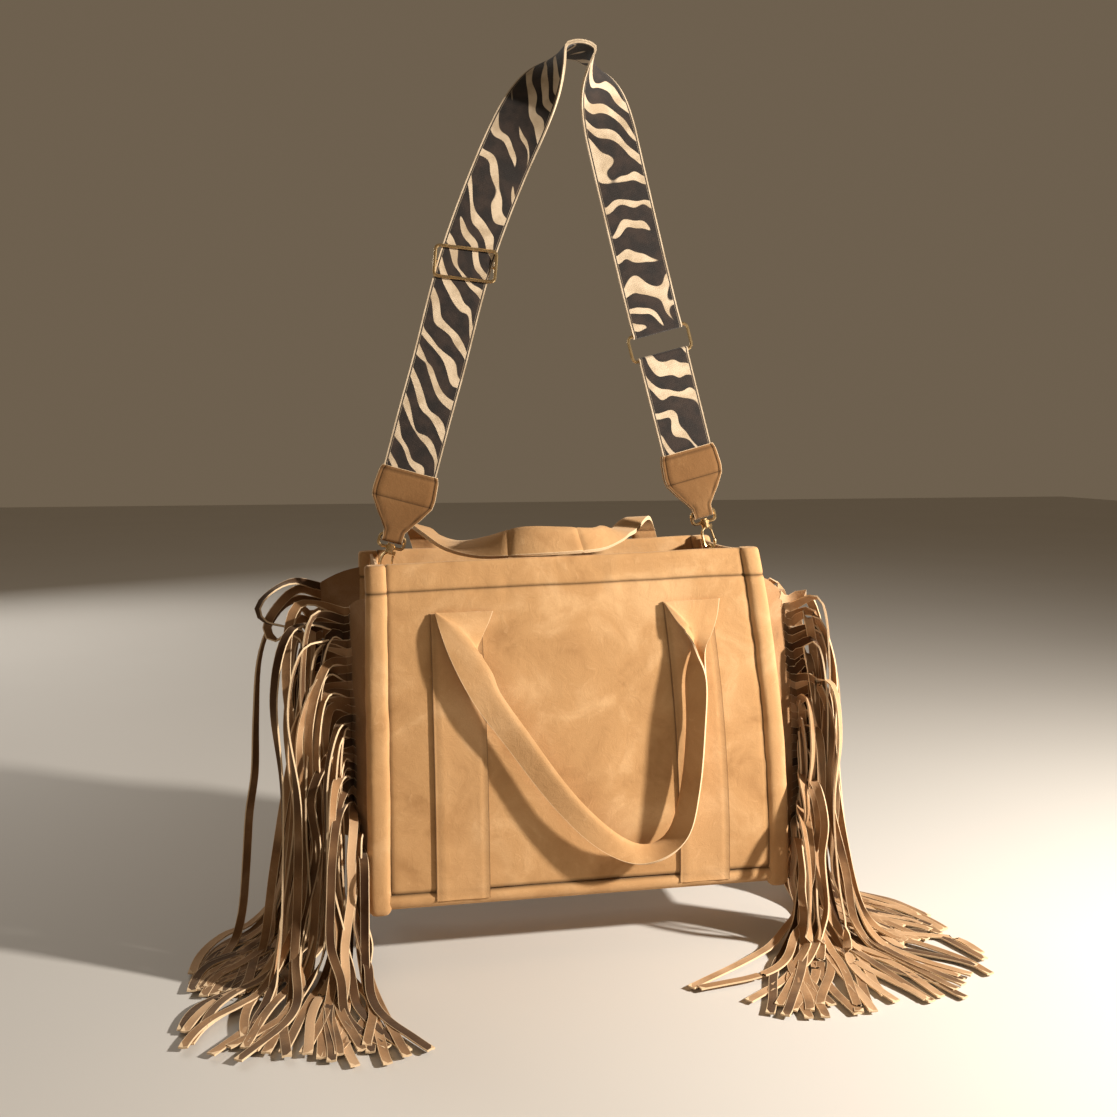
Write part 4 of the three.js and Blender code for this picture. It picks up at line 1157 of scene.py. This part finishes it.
# %% The strap's line
LEFT_SLOPE = Vector((0.264, 0, 0.9645)).normalized()
RIGHT_SLOPE = Vector((-0.262, 0, 0.965)).normalized()
LEFT_SEAT, RIGHT_SEAT = Vector((-178.6, 75, 302)), Vector((142, 75, 321.5))
RING_REACH, BAR_REACH = 203.5, 12.5
SLIDER_AT = Vector((-100, 75, 587))


def on_left(reach):
    return LEFT_SEAT + LEFT_SLOPE * reach


def on_right(reach):
    return RIGHT_SEAT + RIGHT_SLOPE * reach


UPPER_BAR, LOWER_BAR = on_right(RING_REACH + BAR_REACH), on_right(RING_REACH - BAR_REACH)
STRAP_POINTS = [
    on_left(66), on_left(95), on_left(151), Vector((-126, 75, 492)), SLIDER_AT, Vector((-71, 75, 664)),
    Vector((-41, 75, 729)), Vector((-20, 75, 768)), Vector((-9, 75, 782)), Vector((4, 75, 785.65)),
    Vector((17, 75, 782)), Vector((25, 75, 766)), Vector((36, 75, 722)), Vector((51, 75, 662)),
    Vector((70, 75, 588)), UPPER_BAR,
]


def centripetal(points, spans):
    """A curve through the points whose knots are spaced by the root of their distance."""
    padded = [points[0] * 2 - points[1], *points, points[-1] * 2 - points[-2]]
    line = []
    for k in range(1, len(padded) - 2):
        p = padded[k - 1:k + 3]
        t = [0.0]
        for a, b in zip(p, p[1:]):
            t.append(t[-1] + (b - a).length ** 0.5)
        for i in range(spans):
            u = mix(t[1], t[2], i / spans)
            a1 = p[0] * ((t[1] - u) / (t[1] - t[0])) + p[1] * ((u - t[0]) / (t[1] - t[0]))
            a2 = p[1] * ((t[2] - u) / (t[2] - t[1])) + p[2] * ((u - t[1]) / (t[2] - t[1]))
            a3 = p[2] * ((t[3] - u) / (t[3] - t[2])) + p[3] * ((u - t[2]) / (t[3] - t[2]))
            b1 = a1 * ((t[2] - u) / (t[2] - t[0])) + a2 * ((u - t[0]) / (t[2] - t[0]))
            b2 = a2 * ((t[3] - u) / (t[3] - t[1])) + a3 * ((u - t[1]) / (t[3] - t[1]))
            line.append(b1 * ((t[2] - u) / (t[2] - t[1])) + b2 * ((u - t[1]) / (t[2] - t[1])))
    line.append(points[-1])
    return line


STRAP_STEPS = 220
strap_curve = centripetal(STRAP_POINTS, 24)
strap_line, strap_length = cut_to_length(strap_curve, math.inf, STRAP_STEPS)
strap_ways = tangents(strap_line)
top_index = max(range(STRAP_STEPS + 1), key=lambda i: strap_line[i].z)
slider_index = min(range(STRAP_STEPS + 1), key=lambda i: (strap_line[i] - SLIDER_AT).length)
print("strap", round(strap_length), "mm from tab to ring")

# %% [markdown]
# ### How the strap faces
#
# On both arms the webbing faces forward. Over the top it lies flat on whatever holds it, so it
# turns a quarter on the way up and back on the way down, sooner on the right than on the left.

# %% The strap's twist
TWIST_LEFT, TWIST_RIGHT, TWIST_END, PEG_REACH = 60, 35, 0.13, 15


def face_at(i):
    """The direction that the strap's outer face looks in."""
    away = abs(i - top_index) * strap_length / STRAP_STEPS
    fade = math.exp(-max(0, away - PEG_REACH) / (TWIST_LEFT if i < top_index else TWIST_RIGHT))
    turn = math.pi / 2 * max(0, (fade - TWIST_END) / (1 - TWIST_END))
    way = strap_ways[i]
    outwards = Vector((-way.z, 0, way.x))
    return Vector((0, -math.cos(turn), 0)) + outwards * math.sin(turn)


print("at the top the webbing faces", [round(v, 2) for v in face_at(top_index)])

# %% [markdown]
# ### The bands
#
# A band is webbing through stations, each a middle and the way that its face looks. Where it is
# doubled, it goes half round a bar and comes back a layer behind itself.

# %% The webbing bands
WEB_WIDTH, WEB_THICK = 50, 1.5
LAYER_OFFSET = 0.9
TURN_REACH = 2.55


def turn_round(bar, slope, towards):
    stations = []
    for degrees in range(15, 180, 15):
        angle = math.radians(degrees)
        forward = Vector((0, -TURN_REACH * math.cos(angle), 0))
        face = forward + slope * (towards * TURN_REACH * math.sin(angle))
        stations.append((bar + face, face.normalized()))
    return stations


def band(name, stations, start):
    """Webbing through stations of (middle, face), with its flat length as the pattern's length."""
    half = WEB_WIDTH / 2
    across = [-half, -24.4, -20, -12, -4, 4, 12, 20, 24.4, half]
    middles = [at for at, _ in stations]
    lengths = lengths_along(middles, start)
    index_of = {length: i for i, length in enumerate(lengths)}
    ways = tangents(middles)
    sides = []
    for i, (_, face) in enumerate(stations):
        wide = face.cross(ways[i]).normalized()
        if sides and wide.dot(sides[-1]) < 0:
            wide = -wide
        sides.append(wide)

    def place(a, b):
        i = index_of[b]
        return middles[i] + sides[i] * a

    return sheet(name, across, lengths, place, WEB_THICK, WEBBING)


def layer(points, faces, side):
    """One layer of a doubled band: side is 1 for the outer one, -1 for the one behind."""
    return [(at + face * (side * LAYER_OFFSET), face * side) for at, face in zip(points, faces)]


last = STRAP_STEPS - 3
back_from = slider_index + 6
faces = [face_at(i) for i in range(last)]
front_run = layer(strap_line[:last], faces, 1)
back_run = layer(strap_line[back_from:last], faces[back_from:], -1)[::-1]
stations = [*front_run, *turn_round(UPPER_BAR, RIGHT_SLOPE, -1), *back_run]
fit(band("strap_long_webbing", stations, 0), "webbing", "strap_webbing")

# %% [markdown]
# ### The short band
#
# The short band is doubled over its whole length, from inside the right tab round the ring's
# lower bar and back. Its pattern starts where the flat webbing was cut from the roll.

# %% The short band
TAB_FOOT, WEB_END = 31, 35
SHORT_CUT_AT = 1333
SHORT_STEPS = 30

foot = on_right(TAB_FOOT + WEB_END)
head = on_right(RING_REACH - BAR_REACH - 4)
short_line = [foot.lerp(head, k / SHORT_STEPS) for k in range(SHORT_STEPS + 1)]
faces = [Vector((0, -1, 0))] * (SHORT_STEPS + 1)
up_run = layer(short_line, faces, 1)
down_run = layer(short_line, faces, -1)[::-1]
stations = [*up_run, *turn_round(LOWER_BAR, RIGHT_SLOPE, 1), *down_run]
fit(band("strap_ring_webbing", stations, SHORT_CUT_AT), "webbing", "strap_short_webbing")

# %% [markdown]
# ## The strap's end tabs
#
# Each tab is cut in one piece, laid double and sewn: it runs down the back, round the bar of
# the metal eye and up the front, with the webbing held between its layers. A row of stitches
# follows the outline and two more cross it. The outline is a list of heights and half widths,
# and the pattern goes from -1 to 1 across it, so every row of the grid fits the outline.

# %% The tabs' outline
TAB_LENGTH = 66
TAB_OUTLINE = [(0, 9.5), (8, 9.8), (16, 15), (24, 21), (31, 25.2),
               (36, 28.5), (44, 29.5), (55, 28.6), (66, 27.5)]
TAB_THICK = 1.6
RIM_SEAM, CROSS_SEAM, MOUTH_SEAM = 3.2, 37, 62.6


def half_width(z):
    for (z0, w0), (z1, w1) in zip(TAB_OUTLINE, TAB_OUTLINE[1:]):
        if z <= z1:
            return mix(w0, w1, max(0, z - z0) / (z1 - z0))
    return TAB_OUTLINE[-1][1]


widest = 2 * max(width for _, width in TAB_OUTLINE)
print("a tab is", TAB_LENGTH, "mm long and", widest, "mm at its widest")

# %% [markdown]
# ### Folding a tab
#
# Each row of the pattern has its height on the tab and the layer that it lies in, from 1 at the
# back to -1 at the front, with a few rows between them round the eye's bar. The layers are
# puffed apart by what they hold, and pulled together along each row of stitches.

# %% The tabs
def tab(name, seat, slope):
    side_way = Vector((slope.z, 0, -slope.x))
    origin = seat + slope * TAB_FOOT
    heights = [0.5, 2.5, 5, 8] + steps(11, 35, 9) + [36, 37, 38, 40]
    heights += steps(43, 60, 7) + [62, 63.2, 64.4, 65.4, TAB_LENGTH]
    rows = {}
    for z in reversed(heights):
        rows[-(z + 4)] = (z, 1)
    for k in range(5):
        rows[-3.2 + 1.6 * k] = (-1.0 - 1.4 * math.sin(math.pi * k / 4), mix(1, -1, k / 4))
    for z in heights:
        rows[z + 4] = (z, -1)
    right = [0.25, 0.5, 0.7, 0.84, 0.89, 0.93, 0.965, 1]
    columns = [-share for share in reversed(right)] + [0] + right

    def to_rim(share, z):
        return half_width(max(z, 0)) * (1 - abs(share))

    def depth_of(share, z):
        if z < 3:
            return 2.6
        inner = to_rim(share, z)
        puff = mix(2.4, 3.4, ease((z - 3) / 25)) + 0.25 * math.cos(share * 1.5)
        puff -= 0.75 * near(inner - RIM_SEAM, 0.9) + 0.8 * near(inner, 1.2)
        return puff - 0.55 * near(z - CROSS_SEAM, 1.0) - 0.7 * near(z - MOUTH_SEAM, 0.9)

    def place(share, b):
        z, face = rows[b]
        width = half_width(max(z, 0))
        corner = max(0, z - 60) / 6
        width -= 1.6 * corner * corner
        point = origin + side_way * (share * width) + slope * z
        return point + Vector((0, face * depth_of(share, z), 0))

    def crease(share, b):
        z = rows[b][0]
        sewn = 0.85 * near(to_rim(share, z) - RIM_SEAM, 0.8) + 0.85 * near(z - CROSS_SEAM, 0.8)
        return min(1, sewn + 0.8 * near(z - MOUTH_SEAM, 0.8))

    def edge(share, b):
        z = rows[b][0]
        return min(to_rim(share, z), TAB_LENGTH - z)

    return sheet(name, columns, sorted(rows), place, TAB_THICK, SUEDE_TAB, crease=crease, edge=edge)


fit(tab("left_tab_suede", LEFT_SEAT, LEFT_SLOPE), "suede_trim", "left_end_tab")
fit(tab("right_tab_suede", RIGHT_SEAT, RIGHT_SLOPE), "suede_trim", "right_end_tab")

# %% [markdown]
# ### The ring tabs
#
# Inside each side a short strip of suede goes up, over the foot of the D ring and back down,
# and both ends are sewn in under the hem. It is a sheet along one smooth line, seen from the
# side, whose half circle leaves room for the ring's wire.

# %% The ring tabs
RING_FOOT = {"left": Vector((-182.35, 75, 287.5)), "right": Vector((148.3, 75, 307.9))}
RING_REACH_ROUND = 2.6
RING_TAB_HALF, RING_TAB_THICK = 6.5, 1.5


def ring_tab(name, word, side):
    foot = RING_FOOT[word]
    reach = RING_REACH_ROUND
    path = [Vector((side * reach, 0, z)) for z in (-38, -20, -6, 0)]
    for degrees in (30, 60, 90, 120, 150, 180):
        way = heading(degrees) * reach
        path.append(Vector((side * way.x, 0, way.y)))
    path += [Vector((-side * reach * 0.6, 0, -6)), Vector((side * (reach - 2.4), 0, -14)),
             Vector((side * (reach - 2.0), 0, -36))]
    line = smooth_line(path, 3)
    across = steps(-RING_TAB_HALF, RING_TAB_HALF, 6)
    lengths = lengths_along(line)
    index_of = {length: i for i, length in enumerate(lengths)}

    def place(a, b):
        return foot + line[index_of[b]] + Vector((0, a, 0))

    return sheet(name, across, lengths, place, RING_TAB_THICK, SUEDE_TRIM, edge=cut_sides(across))


for side, word in SIDES:
    fit(ring_tab(f"{word}_ring_tab_suede", word, side), "suede_trim", f"{word}_ring_tab")

# %% [markdown]
# ## The metal fittings
#
# The fittings keep their CAD shapes and only get a finish. It is thin pale gold over a cheap
# casting: very smooth, slightly uneven, and a little duller where hands have rubbed it. One
# noise moves both the colour and the roughness, as wear does on the real metal.

# %% The gold finish
def make_gold():
    material = bpy.data.materials.new("pale_gold")
    material.use_nodes = True
    tree = material.node_tree
    shader = tree.nodes["Principled BSDF"]
    place = tree.nodes.new("ShaderNodeTexCoord").outputs["Object"]
    worn = noise_node(tree, place, 120, 4, 0.6)
    fine = noise_node(tree, place, 900, 2)
    colour = mix_colours(tree, ramp(tree, worn, 0.4, 0.7), (0.86, 0.64, 0.34, 1), (0.62, 0.42, 0.20, 1))
    tree.links.new(colour, shader.inputs["Base Color"])
    rough = math_node(tree, "ADD", 0.16, math_node(tree, "MULTIPLY", worn, 0.22))
    tree.links.new(rough, shader.inputs["Roughness"])
    bump = tree.nodes.new("ShaderNodeBump")
    bump.inputs["Strength"].default_value = 0.08
    bump.inputs["Distance"].default_value = 0.0002
    tree.links.new(fine, bump.inputs["Height"])
    tree.links.new(bump.outputs["Normal"], shader.inputs["Normal"])
    shader.inputs["Metallic"].default_value = 1.0
    return material


GOLD = make_gold()
METAL_NODES = ["strap_slider", "strap_ring"]
for word in ("left", "right"):
    METAL_NODES += [f"{word}_swivel_eye", f"{word}_snap_hook", f"{word}_hook_gate", f"{word}_d_ring"]
for name in METAL_NODES:
    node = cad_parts[name]
    node.data.materials.clear()
    node.data.materials.append(GOLD)
print("gold on", len(METAL_NODES), "fittings")

# %% [markdown]
# ## The room
#
# A plain pale floor lies just under the strands that rest on it. Its tone drifts very slightly,
# so that it doesn't look like a cut-out.

# %% The floor
FLOOR_SIZE = 12
FLOOR_GAP = 1.4
floor_z = UNDERSIDE_Z + (FLOOR - FLOOR_GAP) / 1000
deselect_all()
bpy.ops.mesh.primitive_plane_add(size=FLOOR_SIZE, location=(0, 2, floor_z))
floor = bpy.context.object
floor.name = "floor"
paint = bpy.data.materials.new("floor_paint")
paint.use_nodes = True
tree = paint.node_tree
place = tree.nodes.new("ShaderNodeTexCoord").outputs["Object"]
tint = mix_colours(tree, noise_node(tree, place, 2, 2), (0.58, 0.56, 0.53, 1), (0.62, 0.60, 0.57, 1))
tree.links.new(tint, tree.nodes["Principled BSDF"].inputs["Base Color"])
tree.nodes["Principled BSDF"].inputs["Roughness"].default_value = 0.7
floor.data.materials.append(paint)
print("floor at", round(floor_z, 4), "m")

# %% [markdown]
# ### The lights
#
# One small warm light from the right gives the shadows under the handle, and a dim one from the
# left with a warm room fills them. A third stands behind, for whoever walks round. An area
# light points along its own -Z, so each is turned by its way back from what it aims at.

# %% The lights
def area_light(name, place, aim, power, size, colour):
    data = bpy.data.lights.new(name, "AREA")
    data.energy = power
    data.shape = "DISK"
    data.size = size
    data.color = colour
    lamp = bpy.data.objects.new(name, data)
    lamp.location = place
    lamp.rotation_mode = "QUATERNION"
    lamp.rotation_quaternion = (Vector(place) - Vector(aim)).to_track_quat("Z", "Y")
    bpy.context.scene.collection.objects.link(lamp)


AIM = (0, 0, -0.55)
area_light("key", (1.30, -0.78, 0.02), AIM, 61, 0.10, (1.0, 0.93, 0.84))
area_light("fill", (-1.6, -2.2, 0.5), AIM, 3, 1.6, (1.0, 0.96, 0.9))
area_light("back", (-1.3, 2.3, 0.5), AIM, 22, 1.4, (1.0, 0.96, 0.9))
world = bpy.data.worlds.new("room")
world.use_nodes = True
world.node_tree.nodes["Background"].inputs["Color"].default_value = (0.62, 0.47, 0.31, 1)
world.node_tree.nodes["Background"].inputs["Strength"].default_value = 0.25
bpy.context.scene.world = world
bpy.context.scene.view_settings.view_transform = "Standard"
print(len(bpy.data.lights), "lights in a warm room")

# %% [markdown]
# ### The camera
#
# The camera stands a metre away and a little to the left, turned slightly to the right and down.
# The lens is close to normal, so the bag's edges converge as they do to someone standing there.

# %% The camera
CAMERA_AT = (-0.244, -1.124, -0.360)
CAMERA_TURN, CAMERA_DIP = math.radians(11.5), math.radians(5.65)
SENSOR, LENS = 36, 38.4494
eye = bpy.data.cameras.new("camera")
eye.sensor_width = SENSOR
eye.lens = LENS
eye.clip_start = 0.05
camera = bpy.data.objects.new("camera", eye)
camera.location = CAMERA_AT
camera.rotation_euler = (math.pi / 2 - CAMERA_DIP, 0, -CAMERA_TURN)
bpy.context.scene.collection.objects.link(camera)
bpy.context.scene.camera = camera
print("camera", round(Vector(CAMERA_AT).length, 2), "m from the top of the strap")
